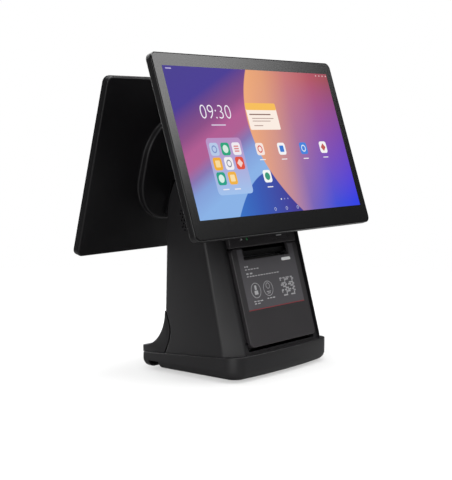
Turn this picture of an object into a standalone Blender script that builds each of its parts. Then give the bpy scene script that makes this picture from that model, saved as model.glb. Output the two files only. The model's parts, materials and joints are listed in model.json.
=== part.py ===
"""A counter-top sales terminal: two tilting touch displays on a column that holds a receipt printer.

The stand frame has +X to the cashier's right, +Y towards the customer and +Z up, with z = 0 on the
counter. The whole stand is shifted along Y so that the origin lies under the middle of its box.
"""

import math

import bmesh
import bpy
from mathutils import Matrix, Vector

# Clearances
SEAT = 0.0003  # between two pieces that rest on each other
RUNNING = 0.0005  # between a moving piece and what it moves in
CUT_OVER = 0.0010  # a cutter stands this far past the face that it cuts through

# Displays: a 15.6 inch, 16:9 panel behind one sheet of glass
GLASS_WIDTH = 0.374
GLASS_ABOVE = 0.1140  # from the middle of the picture to the top edge
GLASS_BELOW = 0.1220
GLASS_RADIUS = 0.0090
GLASS_THICK = 0.0022
PANEL_WIDTH = 0.3560
PANEL_HEIGHT = 0.2060
PANEL_THICK = 0.0045
BACK_DEPTH = 0.0080  # flat part of the back shell, behind the glass
BACK_WALL = 0.0020
BULGE_WIDTH = 0.2000
BULGE_HEIGHT = 0.1460
BULGE_RADIUS = 0.0600
BULGE_DEPTH = 0.0090
BULGE_EDGE = 0.0030
BOARD_THICK = 0.0016
DRIVER_BOARD = (0.1200, 0.0700)

# Where each display sits: its picture's middle, its lean from upright and which way it faces
FRONT_PICTURE = (-0.0500, 0.3020)
FRONT_LEAN = math.radians(18.2)
REAR_PICTURE = (0.0947, 0.2741)
REAR_LEAN = math.radians(14.8)

# Display hinges and the arms that carry them
HINGE_DROP = 0.0450  # below the picture's middle
HINGE_GAP = 0.0092  # from the bulge to the hinge's axis
KNUCKLE_RADIUS = 0.0070
KNUCKLE_WEB = 0.7  # the web's half height, as a share of the knuckle's radius
HINGE_PIN_RADIUS = 0.0030
LEAF_KNUCKLE = 0.0200
LEAF_HEIGHT = 0.0500
LEAF_THICK = 0.0020
ARM_WIDTH = 0.0500
ARM_THICK = 0.0120
ARM_ELBOW = 0.0050  # the front arm bends down from here, forward of the column's middle

# Column
COLUMN_WIDTH = 0.2000
COLUMN_WALL = 0.0026
FRONT_WALL = 0.0110
SLOPE = math.radians(15.8)  # printer cover and front edges, from upright
SEAM = (-0.0430, 0.1650)  # top edge of the printer cover
RIDGE_BEHIND = 0.0016  # the front edges lie this far behind the cover's face
SIDE_EDGE = (-0.0249, 0.1704)  # a point on the line where the side meets the chamfer
SIDE_SLOPE = 0.2136
REAR_FOOT = 0.0455
REAR_BEND = (0.0400, 0.2000)  # where the back starts to round over
TOP_HEIGHT = 0.2660
TOP_MIDDLE = 0.0020
TOP_RADIUS = 0.0190
COLUMN_BEVEL = 0.0030

# Plinth
PLINTH_PROUD = 0.0025  # past each side of the column
PLINTH_WIDTH = COLUMN_WIDTH + 2 * PLINTH_PROUD
PLINTH_FRONT = -0.0845
PLINTH_BACK = 0.0838
PLINTH_BOW = 0.0045
FRONT_CORNER = 0.0220
BACK_CORNER = 0.0140
PLINTH_BOTTOM = 0.0020
PLINTH_RISE = 0.0667  # the top rises this much towards the cashier
PLINTH_BACK_TOP = 0.0218
UNDER_RADIUS = 0.0120
PLINTH_WALL = 0.0025
DECK_WIDTH = 0.0090
DECK_EDGE = 0.0012
BASE_LIFT = 0.0028  # the base plate's underside above the plinth's lower edge
BASE_THICK = 0.0020
BASE_SIDE_GAP = 0.0008
FOOT_RADIUS = 0.0090
FOOT_PLACES = ((-0.070, -0.050), (0.070, -0.050), (-0.070, 0.058), (0.070, 0.058))
NOTCH_WIDTH = 0.0180
NOTCH_HEIGHT = 0.0094
NOTCH_PLACE = 0.0630

# Rear cable cover
FLARE_TOP = 0.0805
PARTING_BULGE = 0.0088
FLARE_FOOT = 0.0310
COVER_WALL = 0.0024
PARTING_GAP = 0.0006

# Printer cover, cap and buttons, on the sloping front face
DOOR_WIDTH = 0.1400
DOOR_LENGTH = 0.1287
DOOR_SKIN = 0.0030
DOOR_DEPTH = 0.0120
DOOR_RIM = 0.0035
DOOR_CORNER = 0.0070
SEAM_GAP = 0.0008
DOOR_SIDE_GAP = 0.0005
DOOR_PIVOT = (0.0075, 0.0070)  # depth behind the face, height above the lower edge
DOOR_SWING = 0.0040  # room below the cover for its lower edge to swing in
DOOR_PIN_RADIUS = 0.0020
DOOR_PIN_REACH = 0.0050  # past each side of the cover, into the column
EXIT_WIDTH = 0.0950
EXIT_HEIGHT = 0.0160
CAP_LENGTH = 0.0770
CAP_DEPTH = 0.0100
LEDGE_DEPTH = 0.0056
LEDGE_FOOT = -0.0513  # the ledge runs on below the cover, down to the plinth
WINDOW_DEPTH = 0.0300
LEDGE_WIDTH = 0.0088
RIDGE_LAND = 0.0012
RIDGE_WIDTH = DOOR_WIDTH + 2 * (DOOR_SIDE_GAP + LEDGE_WIDTH + RIDGE_LAND)  # between the two front edges
RELEASE = (0.0350, 0.0110, 0.0360, 0.0090)  # x, height above the seam, width, height
FEED = (-0.0450, 0.0110, 0.0040)  # x, height above the seam, radius
LAMP = (-0.0330, 0.0110, 0.0020)
BUTTON_TRAVEL = 0.0020
FLANGE_THICK = 0.0012  # the rim behind the skin that keeps a key from falling out
FLANGE_WIDTH = 0.0010
POWER_PLACE = (-0.0200, 0.0180)
POWER_RADIUS = 0.0045
POWER_LENGTH = 0.0055

# Paper and printer, seen from the side as (y, z)
ROLL_WIDTH = 0.0795
ROLL_RADIUS = 0.0380
CORE_RADIUS = 0.0085
CORE_BORE = 0.0065
BUCKET_MIDDLE = (-0.0185, 0.0880)
BUCKET_ROOM = 0.0025
BUCKET_SIDE_ROOM = 0.0015
BUCKET_MOUTH = 0.0300  # the cutter for the open front reaches this far past it
BUCKET_WALL = 0.0020
BUCKET_TOP = 0.1300
BUCKET_LIP = 215  # the trough starts at this angle, in degrees
BUCKET_FRONT = -0.0400
CHASSIS_THICK = 0.0020
CHASSIS_WIDTH = 0.1200
CHASSIS_TOP = 0.2400
CHASSIS_FOOT = 0.0500
PORT_WINDOW = (0.1040, 0.0400)
PLATEN = (-0.0355, 0.1450)
PLATEN_RADIUS = 0.0055
PLATEN_LENGTH = 0.0800
SHAFT_RADIUS = 0.0025
COVER_ARM_PLATE = 0.0025
COVER_ARM_GAP = 0.0020  # from the roller's end
COVER_ARM_BELOW = 0.0110  # the arm reaches this far below the shaft
COVER_ARM_RIM = 0.0045  # round the shaft
HEAD_THICK = 0.0040
HEAD_BELOW = 0.0140  # the print head reaches this far below the platen's axis
HOLDER_DEPTH = 0.0030
SPRING_ROOM = 0.0070
SPRING_RADIUS = 0.0028
SPRING_WIRE = 0.0004
SPRING_TURNS = 4
SPRING_X = 0.0250
PRINTER_WIDTH = 0.1020
PRINTER_PLATE = 0.0015
PRINTER_TOP = 0.1720
PRINTER_FRONT = -0.0320
PRINTER_NOTCH = 0.0070  # the side plates stand back from the cover above the roller
PAPER_BRIDGE = 0.0100  # the strip of floor behind the way of the paper
CUTTER_FRONT = -0.0385
CUTTER_BACK = -0.0100
CUTTER_BOTTOM = 0.1525
CUTTER_TOP = 0.1595
CUTTER_WIDTH = 0.0940
PAPER_SLOT = 0.0020
BLADE_THICK = 0.0010
BLADE_TRAVEL = 0.0040
BLADE_BACK = 0.0145
MOTOR = (0.0080, 0.1520)
MOTOR_RADIUS = 0.0105
MOTOR_LENGTH = 0.0180
MODULE = 0.0010
MOTOR_TEETH = 12
IDLER_TEETH = 34
PLATEN_TEETH = 16
GEAR_WIDTH = 0.0040
TOOTH_SHARE = 0.86
SPINDLE_RADIUS = 0.0015

# Electronics in the foot of the column
MAIN_BOARD = (0.1000, -0.0620, 0.0460)  # width, front, back
STANDOFF = 0.0060
STANDOFF_RADIUS = 0.0030
STANDOFF_IN = 0.0060  # in from the board's sides
STANDOFF_ROWS = (0.0080, 0.0760)  # back from the board's front
STANDOFF_ROOM = 0.0015
HEAT_SINK = (0.0400, 0.0400, 0.0120)
HEAT_SINK_FRONT = -0.0450
HEAT_SINK_FLOOR = 0.0030
FIN_GAPS = 6
FIN_GAP = 0.0036
PORT_DEPTH = 0.0140
PORT_WALL = 0.0030
PORTS = {  # x, width, height, socket width, socket height, finish
    "network_port": (-0.0300, 0.0160, 0.0135, 0.0118, 0.0080, "steel"),
    "usb_port": (0.0000, 0.0150, 0.0090, 0.0124, 0.0052, "steel"),
    "power_jack": (0.0280, 0.0120, 0.0110, 0.0062, 0.0062, "black"),
}
SPEAKER_RADIUS = 0.0160
SPEAKER_DEPTH = 0.0120
SPEAKER_PLACE = (0.0100, 0.2010)

# Materials: colour, roughness, metallic
MATERIALS = {
    "housing": ((0.020, 0.019, 0.021, 1), 0.48, 0),
    "cover": ((0.040, 0.038, 0.040, 1), 0.42, 0),
    "black": ((0.004, 0.004, 0.005, 1), 0.45, 0),
    "glass": ((0.010, 0.010, 0.012, 1), 0.06, 0),
    "panel": ((0.150, 0.150, 0.200, 1), 0.30, 0),
    "steel": ((0.450, 0.450, 0.460, 1), 0.38, 1),
    "rubber": ((0.015, 0.015, 0.015, 1), 0.85, 0),
    "paper": ((0.860, 0.860, 0.840, 1), 0.80, 0),
    "card": ((0.420, 0.330, 0.230, 1), 0.85, 0),
    "board": ((0.010, 0.090, 0.045, 1), 0.50, 0),
    "gear": ((0.800, 0.800, 0.760, 1), 0.50, 0),
    "aluminium": ((0.620, 0.630, 0.640, 1), 0.35, 1),
    "lens": ((0.100, 0.500, 0.200, 1), 0.20, 0),
}


# ---------------------------------------------------------------- tools


def clear_scene():
    for obj in list(bpy.data.objects):
        bpy.data.objects.remove(obj, do_unlink=True)


def make_collection(name):
    made = bpy.data.collections.new(name)
    bpy.context.scene.collection.children.link(made)
    return made


clear_scene()
PARTS = make_collection("sales_terminal")
CUTTERS = make_collection("cutters")


def material(name):
    """The named finish, made once."""
    found = bpy.data.materials.get(name)
    if found:
        return found
    colour, roughness, metallic = MATERIALS[name]
    made = bpy.data.materials.new(name)
    made.use_nodes = True
    shader = made.node_tree.nodes["Principled BSDF"]
    shader.inputs["Base Color"].default_value = colour
    shader.inputs["Roughness"].default_value = roughness
    shader.inputs["Metallic"].default_value = metallic
    return made


def empty(name, location, parent=None, turn=(0, 0, 0)):
    made = bpy.data.objects.new(name, None)
    made.location = location
    made.rotation_euler = turn
    made.parent = parent
    PARTS.objects.link(made)
    return made


def solid(name, mesh, finish, parent, location=(0, 0, 0), turn=(0, 0, 0)):
    """An object of the model, or a cutter where finish is None."""
    made = bpy.data.objects.new(name, mesh)
    made.parent = parent
    made.location = location
    made.rotation_euler = turn
    if finish is None:
        made.hide_render = True
        made.display_type = "WIRE"
        CUTTERS.objects.link(made)
        return made
    mesh.materials.append(material(finish))
    mesh.shade_smooth()
    mesh.set_sharp_from_angle(angle=math.radians(32))
    PARTS.objects.link(made)
    return made


def mesh_of(name, bm):
    bmesh.ops.recalc_face_normals(bm, faces=bm.faces)
    mesh = bpy.data.meshes.new(name)
    bm.to_mesh(mesh)
    bm.free()
    return mesh


def box(name, low, high, finish, parent):
    """A box between two corners, with its origin at its middle."""
    low = Vector(low)
    high = Vector(high)
    bm = bmesh.new()
    bmesh.ops.create_cube(bm, size=1)
    bmesh.ops.scale(bm, vec=high - low, verts=bm.verts)
    return solid(name, mesh_of(name, bm), finish, parent, (low + high) / 2)


AXIS_TURN = {
    "X": Matrix.Rotation(math.radians(90), 3, "Y"),
    "Y": Matrix.Rotation(math.radians(-90), 3, "X"),
    "Z": Matrix.Identity(3),
}


def cylinder(name, radius, start, length, axis, finish, parent, sides=32):
    """A round bar from the point start, along +X, +Y or +Z."""
    bm = bmesh.new()
    bmesh.ops.create_cone(
        bm, cap_ends=True, segments=sides, radius1=radius, radius2=radius, depth=length
    )
    bmesh.ops.translate(bm, vec=(0, 0, length / 2), verts=bm.verts)
    bmesh.ops.rotate(bm, cent=(0, 0, 0), matrix=AXIS_TURN[axis], verts=bm.verts)
    return solid(name, mesh_of(name, bm), finish, parent, start)


# A flat outline's own x and y become these two directions, and its thickness the third
PLANES = {
    "XY": Matrix.Identity(3),
    "XZ": Matrix(((1, 0, 0), (0, 0, -1), (0, 1, 0))),
    "YZ": Matrix(((0, 0, 1), (1, 0, 0), (0, 1, 0))),
}


def flat(name, outlines, thickness, plane, finish, parent, location=(0, 0, 0), turn=(0, 0, 0)):
    """A plate of even thickness, centred on its plane: the first outline, less any holes after it."""
    curve = bpy.data.curves.new(name, "CURVE")
    curve.dimensions = "2D"
    curve.fill_mode = "BOTH"
    curve.extrude = thickness / 2
    for outline in outlines:
        spline = curve.splines.new("POLY")
        spline.points.add(len(outline) - 1)
        for point, (a, b) in zip(spline.points, outline):
            point.co = (a, b, 0, 1)
        spline.use_cyclic_u = True
    guide = bpy.data.objects.new(name + "_outline", curve)
    bpy.context.scene.collection.objects.link(guide)
    graph = bpy.context.evaluated_depsgraph_get()
    mesh = bpy.data.meshes.new_from_object(guide.evaluated_get(graph))
    bpy.data.objects.remove(guide)
    bm = bmesh.new()
    bm.from_mesh(mesh)
    bmesh.ops.remove_doubles(bm, verts=bm.verts, dist=1e-6)
    bmesh.ops.transform(bm, matrix=PLANES[plane].to_4x4(), verts=bm.verts)
    return solid(name, mesh_of(name, bm), finish, parent, location, turn)


def loft(name, rings, finish, parent, caps=True):
    """A skin through closed rings with the same number of points each."""
    bm = bmesh.new()
    rows = [[bm.verts.new(point) for point in ring] for ring in rings]
    count = len(rows[0])
    for lower, upper in zip(rows, rows[1:]):
        for i in range(count):
            j = (i + 1) % count
            bm.faces.new((lower[i], lower[j], upper[j], upper[i]))
    if caps:
        bm.faces.new(rows[0])
        bm.faces.new(rows[-1])
    return solid(name, mesh_of(name, bm), finish, parent)


def combine(target, other, operation):
    """A Boolean with a helper object, which is left out of the model."""
    step = target.modifiers.new(other.name, "BOOLEAN")
    step.operation = operation
    step.solver = "EXACT"
    step.object = other
    return target


def cut(target, *cutters):
    for cutter in cutters:
        combine(target, cutter, "DIFFERENCE")
    return target


def add(target, *helpers):
    for helper in helpers:
        combine(target, helper, "UNION")
    return target


def bevel(obj, width, segments=2, angle=40):
    step = obj.modifiers.new("bevel", "BEVEL")
    step.width = width
    step.segments = segments
    step.limit_method = "ANGLE"
    step.angle_limit = math.radians(angle)
    return obj


def arc(middle, radii, start, end, steps):
    """Points on an ellipse, by angle in degrees."""
    points = []
    for i in range(steps + 1):
        angle = math.radians(start + (end - start) * i / steps)
        points.append((middle[0] + radii[0] * math.cos(angle), middle[1] + radii[1] * math.sin(angle)))
    return points


def rounded(width, low, high, radius, steps=6):
    """A rectangle centred on 0 across, from low to high, with round corners."""
    side = width / 2 - radius
    turn = (radius, radius)
    return (
        arc((side, low + radius), turn, -90, 0, steps)
        + arc((side, high - radius), turn, 0, 90, steps)
        + arc((-side, high - radius), turn, 90, 180, steps)
        + arc((-side, low + radius), turn, 180, 270, steps)
    )


def inset(outline, distance):
    """The outline moved inwards, for an outline that runs anticlockwise."""
    moved = []
    for i, (x, y) in enumerate(outline):
        before = outline[i - 1]
        after = outline[(i + 1) % len(outline)]
        along = Vector((after[0] - before[0], after[1] - before[1])).normalized()
        moved.append((x - along.y * distance, y + along.x * distance))
    return moved


# ---------------------------------------------------------------- the stand's own lines


def cover_face(z):
    """How far forward the printer cover's face is at a height."""
    return SEAM[0] + (z - SEAM[1]) * math.tan(SLOPE)


def ridge_line(z):
    return cover_face(z) + RIDGE_BEHIND / math.cos(SLOPE)


def side_line(z):
    return SIDE_EDGE[0] + (z - SIDE_EDGE[1]) * SIDE_SLOPE


def plinth_top(y):
    return PLINTH_BACK_TOP + (PLINTH_BACK - y) * PLINTH_RISE


def on_plinth(line):
    """The height at which a front line meets the plinth, which slopes too."""
    z = PLINTH_BACK_TOP
    for _ in range(8):
        z = plinth_top(line(z)) + SEAT
    return z


def rear_line(z):
    share = (z - PLINTH_BACK_TOP) / (REAR_BEND[1] - PLINTH_BACK_TOP)
    return REAR_FOOT + (REAR_BEND[0] - REAR_FOOT) * share


def parting_line(z, foot):
    """The line between the column and its cable cover bows forward between its two ends."""
    share = (z - foot) / (FLARE_TOP - foot)
    return rear_line(z) - PARTING_BULGE * math.sin(math.pi * share)


def column_profile(front, wall, front_wall, foot_drop):
    """The column from the side, clockwise from its front foot: the outside, or the inside less its walls."""
    rear_foot = plinth_top(REAR_FOOT) + SEAT
    front_foot = on_plinth(front)
    points = []
    for i in range(7):
        z = front_foot + (TOP_HEIGHT - TOP_RADIUS - front_foot) * i / 6
        points.append((front(z) + front_wall, z))
    reach = TOP_MIDDLE - front(TOP_HEIGHT - TOP_RADIUS) - front_wall
    middle = (TOP_MIDDLE, TOP_HEIGHT - TOP_RADIUS)
    points += arc(middle, (reach, TOP_RADIUS - wall), 180, 90, 6)[1:]
    back_radii = (REAR_BEND[0] - TOP_MIDDLE - wall, TOP_HEIGHT - REAR_BEND[1] - wall)
    points += arc((TOP_MIDDLE, REAR_BEND[1]), back_radii, 90, 0, 9)[1:]
    points.append((rear_line(FLARE_TOP) - wall, FLARE_TOP))
    for i in range(1, 8):
        z = FLARE_TOP + (rear_foot - FLARE_TOP) * i / 7
        points.append((parting_line(z, rear_foot) - wall, z))
    points[0] = (points[0][0], points[0][1] - foot_drop)
    points[-1] = (points[-1][0], points[-1][1] - foot_drop)
    return points


def plinth_outline():
    """The plinth from above, anticlockwise, with its front bowed towards the cashier."""
    half = PLINTH_WIDTH / 2
    shoulder = PLINTH_FRONT + PLINTH_BOW
    side = half - FRONT_CORNER
    back = half - BACK_CORNER
    points = arc((-side, shoulder + FRONT_CORNER), (FRONT_CORNER, FRONT_CORNER), 180, 262, 6)
    for i in range(1, 8):
        x = side * (2 * i / 8 - 1)
        points.append((x, PLINTH_FRONT + PLINTH_BOW * (x / side) ** 2))
    points += arc((side, shoulder + FRONT_CORNER), (FRONT_CORNER, FRONT_CORNER), 278, 360, 6)
    points += arc((back, PLINTH_BACK - BACK_CORNER), (BACK_CORNER, BACK_CORNER), 0, 90, 5)
    points += arc((-back, PLINTH_BACK - BACK_CORNER), (BACK_CORNER, BACK_CORNER), 90, 180, 5)
    return points


# ---------------------------------------------------------------- frames


def display_frame(picture, lean, facing):
    """Where a display's hinge is: facing is -1 to the cashier and 1 to the customer."""
    depth = GLASS_THICK + SEAT + BACK_DEPTH + BULGE_DEPTH + HINGE_GAP
    y = picture[0] + facing * (HINGE_DROP * math.sin(lean) - depth * math.cos(lean))
    z = picture[1] - HINGE_DROP * math.cos(lean) - depth * math.sin(lean)
    return y, z, depth


FRONT_HINGE = display_frame(FRONT_PICTURE, FRONT_LEAN, -1)
REAR_HINGE = display_frame(REAR_PICTURE, REAR_LEAN, 1)
FRONT_REACH = FRONT_PICTURE[0] - GLASS_BELOW * math.sin(FRONT_LEAN)
REAR_REACH = REAR_PICTURE[0] + GLASS_BELOW * math.sin(REAR_LEAN)

stand = empty("stand", (0, -(FRONT_REACH + REAR_REACH) / 2, 0))
face = empty("front_face", (0, SEAM[0], SEAM[1]), stand, (-SLOPE, 0, 0))
door_hinge = empty("door_hinge", (0, DOOR_PIVOT[0], DOOR_PIVOT[1] - DOOR_LENGTH), face)
platen_axis = empty("platen_axis", (0, PLATEN[0], PLATEN[1]), stand)


# ---------------------------------------------------------------- plinth and feet

outline = plinth_outline()
rings = []
for i in range(6):
    angle = math.radians(90 * i / 5)
    height = PLINTH_BOTTOM + UNDER_RADIUS * (1 - math.cos(angle))
    ring = inset(outline, UNDER_RADIUS * (1 - math.sin(angle)))
    rings.append([(x, y, height) for x, y in ring])
rings.append([(x, y, plinth_top(y) - DECK_EDGE) for x, y in outline])
rings.append([(x, y, plinth_top(y)) for x, y in inset(outline, DECK_EDGE)])
rings.append([(x, y, plinth_top(y)) for x, y in inset(outline, DECK_WIDTH)])
plinth = loft("plinth", rings, "housing", stand, caps=False)
wall = plinth.modifiers.new("wall", "SOLIDIFY")
wall.thickness = PLINTH_WALL
wall.offset = -1
wall.use_even_offset = True
half = PLINTH_WIDTH / 2
for side in (-1, 1):
    inner = side * (half - 2 * UNDER_RADIUS)
    outer = side * (half + CUT_OVER)
    cut(
        plinth,
        box(
            "cable_notch_cutter",
            (min(inner, outer), NOTCH_PLACE - NOTCH_WIDTH / 2, 0),
            (max(inner, outer), NOTCH_PLACE + NOTCH_WIDTH / 2, PLINTH_BOTTOM + NOTCH_HEIGHT),
            None,
            stand,
        ),
    )

lift = UNDER_RADIUS - BASE_LIFT
base_inset = UNDER_RADIUS - math.sqrt((UNDER_RADIUS - PLINTH_WALL) ** 2 - lift**2) + BASE_SIDE_GAP
base_low = PLINTH_BOTTOM + BASE_LIFT
base_top = base_low + BASE_THICK
base_plate = flat(
    "base_plate", [inset(outline, base_inset)], BASE_THICK, "XY", "steel", stand,
    (0, 0, base_low + BASE_THICK / 2),
)
board_low = base_top + STANDOFF
board_half = MAIN_BOARD[0] / 2
standoff_length = STANDOFF + BASE_THICK / 2 - SEAT
standoffs = [
    (side * (board_half - STANDOFF_IN), MAIN_BOARD[1] + row) for row in STANDOFF_ROWS for side in (-1, 1)
]
for i, (x, y) in enumerate(standoffs):
    post = (x, y, base_top - BASE_THICK / 2)
    add(base_plate, cylinder(f"standoff_{i}", STANDOFF_RADIUS, post, standoff_length, "Z", None, stand, 16))
for i, (x, y) in enumerate(FOOT_PLACES):
    foot = cylinder(f"foot_{i + 1}", FOOT_RADIUS, (x, y, 0), base_low - SEAT, "Z", "rubber", stand)
    bevel(foot, 0.0008, 1)


# ---------------------------------------------------------------- column, cable cover and cap


def column_rings(wall, front_wall, foot_drop):
    half = COLUMN_WIDTH / 2 - wall
    ridge = RIDGE_WIDTH / 2 - wall * 0.6
    side = column_profile(side_line, wall, wall * 2, foot_drop)
    front = column_profile(ridge_line, wall, front_wall, foot_drop)
    rings = ((-half, side), (-ridge, front), (ridge, front), (half, side))
    return [[(x, y, z) for y, z in points] for x, points in rings]


column = bevel(loft("column_shell", column_rings(0, 0, 0), "housing", stand), COLUMN_BEVEL, 3, 25)
open_low = -DOOR_LENGTH - DOOR_SWING
open_top = CAP_LENGTH + SEAM_GAP
window_half = DOOR_WIDTH / 2 + DOOR_SIDE_GAP
ledge_half = window_half + LEDGE_WIDTH
cut(
    column,
    loft("column_cavity", column_rings(COLUMN_WALL, FRONT_WALL, 0.01), None, stand),
    box(
        "ledge_cutter",
        (-ledge_half, -FRONT_WALL, LEDGE_FOOT - DOOR_LENGTH),
        (ledge_half, LEDGE_DEPTH, open_top),
        None,
        face,
    ),
    box(
        "window_cutter",
        (-window_half, -FRONT_WALL, open_low),
        (window_half, WINDOW_DEPTH, open_top),
        None,
        face,
    ),
)
arm_room = ARM_WIDTH / 2 + 2 * RUNNING
front_y, front_z, _ = FRONT_HINGE
rear_y, rear_z, _ = REAR_HINGE
slot_half = ARM_THICK / 2 + 2 * RUNNING
cut(
    column,
    box(
        "front_arm_cutter",
        (-arm_room, front_y, front_z - slot_half),
        (arm_room, 0, front_z + slot_half),
        None,
        stand,
    ),
    box(
        "rear_arm_cutter",
        (-arm_room, 0, rear_z - slot_half),
        (arm_room, rear_y, rear_z + slot_half),
        None,
        stand,
    ),
    box(
        "port_window_cutter",
        (-PORT_WINDOW[0] / 2, 0, 0),
        (PORT_WINDOW[0] / 2, PLINTH_BACK, PORT_WINDOW[1]),
        None,
        stand,
    ),
)
pin_place = (0, DOOR_PIVOT[0], DOOR_PIVOT[1] - DOOR_LENGTH)
pin_half = DOOR_WIDTH / 2 + DOOR_PIN_REACH
cut(
    column,
    cylinder(
        "pin_hole_cutter", DOOR_PIN_RADIUS + SEAT, (-pin_half - SEAT, pin_place[1], pin_place[2]),
        2 * (pin_half + SEAT), "X", None, face, 24,
    ),
)

cover_foot = plinth_top(REAR_FOOT) + SEAT


def cable_cover_profile(wall, open_front, open_foot):
    """The cable cover from the side: the bowed parting line, then the flare down to the plinth."""
    front = []
    for i in range(7):
        z = cover_foot + (FLARE_TOP - cover_foot) * i / 7
        front.append((parting_line(z, cover_foot) + PARTING_GAP - open_front, z))
    front[0] = (front[0][0], front[0][1] - open_foot)
    span = PLINTH_BACK - rear_line(FLARE_TOP) - PARTING_GAP
    drop = wall * 0.6
    curve = arc((PLINTH_BACK, FLARE_TOP), (span, FLARE_TOP - FLARE_FOOT), 180, 262, 8)
    flare = [(y - wall, z - drop) for y, z in curve]
    flare[0] = (flare[0][0] + wall, flare[0][1])
    foot = plinth_top(PLINTH_BACK) + SEAT - open_foot
    return front + flare + [(PLINTH_BACK - wall, FLARE_FOOT - drop), (PLINTH_BACK - wall, foot)]


rear_cover = flat("rear_cover", [cable_cover_profile(0, 0, 0)[::-1]], COLUMN_WIDTH, "YZ", "housing", stand)
bevel(rear_cover, 0.0020, 2, 50)
hollow = cable_cover_profile(COVER_WALL, 2 * PARTING_BULGE, 4 * COVER_WALL)[::-1]
cut(rear_cover, flat("cable_cover_cavity", [hollow], COLUMN_WIDTH - 2 * COVER_WALL, "YZ", None, stand))

cap_half = DOOR_WIDTH / 2
front_cap = box(
    "front_cap", (-cap_half, 0, SEAM_GAP), (cap_half, CAP_DEPTH, CAP_LENGTH), "cover", face
)
bevel(front_cap, 0.0010, 2)
release_x, release_z, release_w, release_h = RELEASE
cut(
    front_cap,
    box(
        "cap_cavity",
        (-cap_half + DOOR_RIM, DOOR_SKIN, SEAM_GAP + DOOR_RIM),
        (cap_half - DOOR_RIM, 0.02, CAP_LENGTH - DOOR_RIM),
        None,
        face,
    ),
    box(
        "release_hole_cutter",
        (release_x - release_w / 2 - SEAT, -0.01, release_z - release_h / 2 - SEAT),
        (release_x + release_w / 2 + SEAT, 0.02, release_z + release_h / 2 + SEAT),
        None,
        face,
    ),
    cylinder("feed_hole_cutter", FEED[2] + SEAT, (FEED[0], -0.01, FEED[1]), 0.03, "Y", None, face),
    cylinder("lamp_hole_cutter", LAMP[2] + SEAT, (LAMP[0], -0.01, LAMP[1]), 0.03, "Y", None, face, 16),
)


def key_in_cap(name, shape):
    """A key flush with the cap's face, with a flange behind the skin."""
    flange_near = DOOR_SKIN + RUNNING
    key = shape(name, 0, "black", 0, DOOR_SKIN + BUTTON_TRAVEL + FLANGE_THICK)
    return add(key, shape(name + "_flange", FLANGE_WIDTH, None, flange_near, flange_near + FLANGE_THICK))


def release_key(name, grow, finish, near, far):
    return box(
        name,
        (release_x - release_w / 2 - grow, near, release_z - release_h / 2 - grow),
        (release_x + release_w / 2 + grow, far, release_z + release_h / 2 + grow),
        finish,
        face,
    )


def feed_key(name, grow, finish, near, far):
    return cylinder(name, FEED[2] + grow, (FEED[0], near, FEED[1]), far - near, "Y", finish, face, 24)


key_in_cap("release_button", release_key)
key_in_cap("feed_button", feed_key)
cylinder("status_lamp", LAMP[2], (LAMP[0], SEAT, LAMP[1]), DOOR_SKIN + BUTTON_TRAVEL, "Y", "lens", face, 16)


# ---------------------------------------------------------------- printer cover

door = flat(
    "printer_cover",
    [rounded(DOOR_WIDTH, 0, DOOR_LENGTH, DOOR_CORNER, 5)],
    DOOR_DEPTH,
    "XZ",
    "cover",
    door_hinge,
    (0, DOOR_DEPTH / 2 - DOOR_PIVOT[0], -DOOR_PIVOT[1]),
)
bevel(door, 0.0010, 2)
low = -DOOR_PIVOT[1]
top = DOOR_LENGTH + low
cut(
    door,
    box(
        "door_cavity",
        (-DOOR_WIDTH / 2 + DOOR_RIM, DOOR_SKIN - DOOR_PIVOT[0], low + DOOR_RIM),
        (DOOR_WIDTH / 2 - DOOR_RIM, 0.02, top - DOOR_RIM),
        None,
        door_hinge,
    ),
    box(
        "paper_exit_cutter",
        (-EXIT_WIDTH / 2, -0.02, top - EXIT_HEIGHT),
        (EXIT_WIDTH / 2, 0.02, top + 0.01),
        None,
        door_hinge,
    ),
    box(
        "rim_relief_cutter",
        (-PRINTER_WIDTH / 2 - 0.006, DOOR_SKIN - DOOR_PIVOT[0], top - EXIT_HEIGHT),
        (PRINTER_WIDTH / 2 + 0.006, 0.02, top + 0.01),
        None,
        door_hinge,
    ),
    cylinder(
        "door_pin_cutter", DOOR_PIN_RADIUS + SEAT, (-pin_half, 0, 0), 2 * pin_half, "X", None, door_hinge, 24,
    ),
)
pin_start = (-pin_half, pin_place[1], pin_place[2])
cylinder("cover_pin", DOOR_PIN_RADIUS, pin_start, 2 * pin_half, "X", "steel", face, 24)

# The two arms inside the cover carry the platen's shaft
slope_turn = Matrix.Rotation(SLOPE, 3, "X")
platen_local = slope_turn @ Vector((0, PLATEN[0] - SEAM[0], PLATEN[1] - SEAM[1]))
platen_in_door = Vector((0, platen_local.y - DOOR_PIVOT[0], platen_local.z - DOOR_PIVOT[1] + DOOR_LENGTH))
arm_near = PLATEN_LENGTH / 2 + COVER_ARM_GAP
for side, label in ((-1, "left"), (1, "right")):
    inner = side * arm_near
    outer = side * (arm_near + COVER_ARM_PLATE)
    arm_top = platen_in_door.z + COVER_ARM_RIM
    arm = box(
        f"cover_arm_{label}",
        (min(inner, outer), DOOR_SKIN - DOOR_PIVOT[0] + SEAT, platen_in_door.z - COVER_ARM_BELOW),
        (max(inner, outer), platen_in_door.y + COVER_ARM_RIM, arm_top),
        "steel",
        door_hinge,
    )
    cut(
        arm,
        cylinder(
            f"arm_hole_{label}", SHAFT_RADIUS + SEAT,
            (min(inner, outer) - CUT_OVER, platen_in_door.y, platen_in_door.z),
            COVER_ARM_PLATE + 2 * CUT_OVER, "X", None, door_hinge,
        ),
    )


# ---------------------------------------------------------------- platen and its gears


def involute(angle):
    return math.tan(angle) - angle


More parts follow.
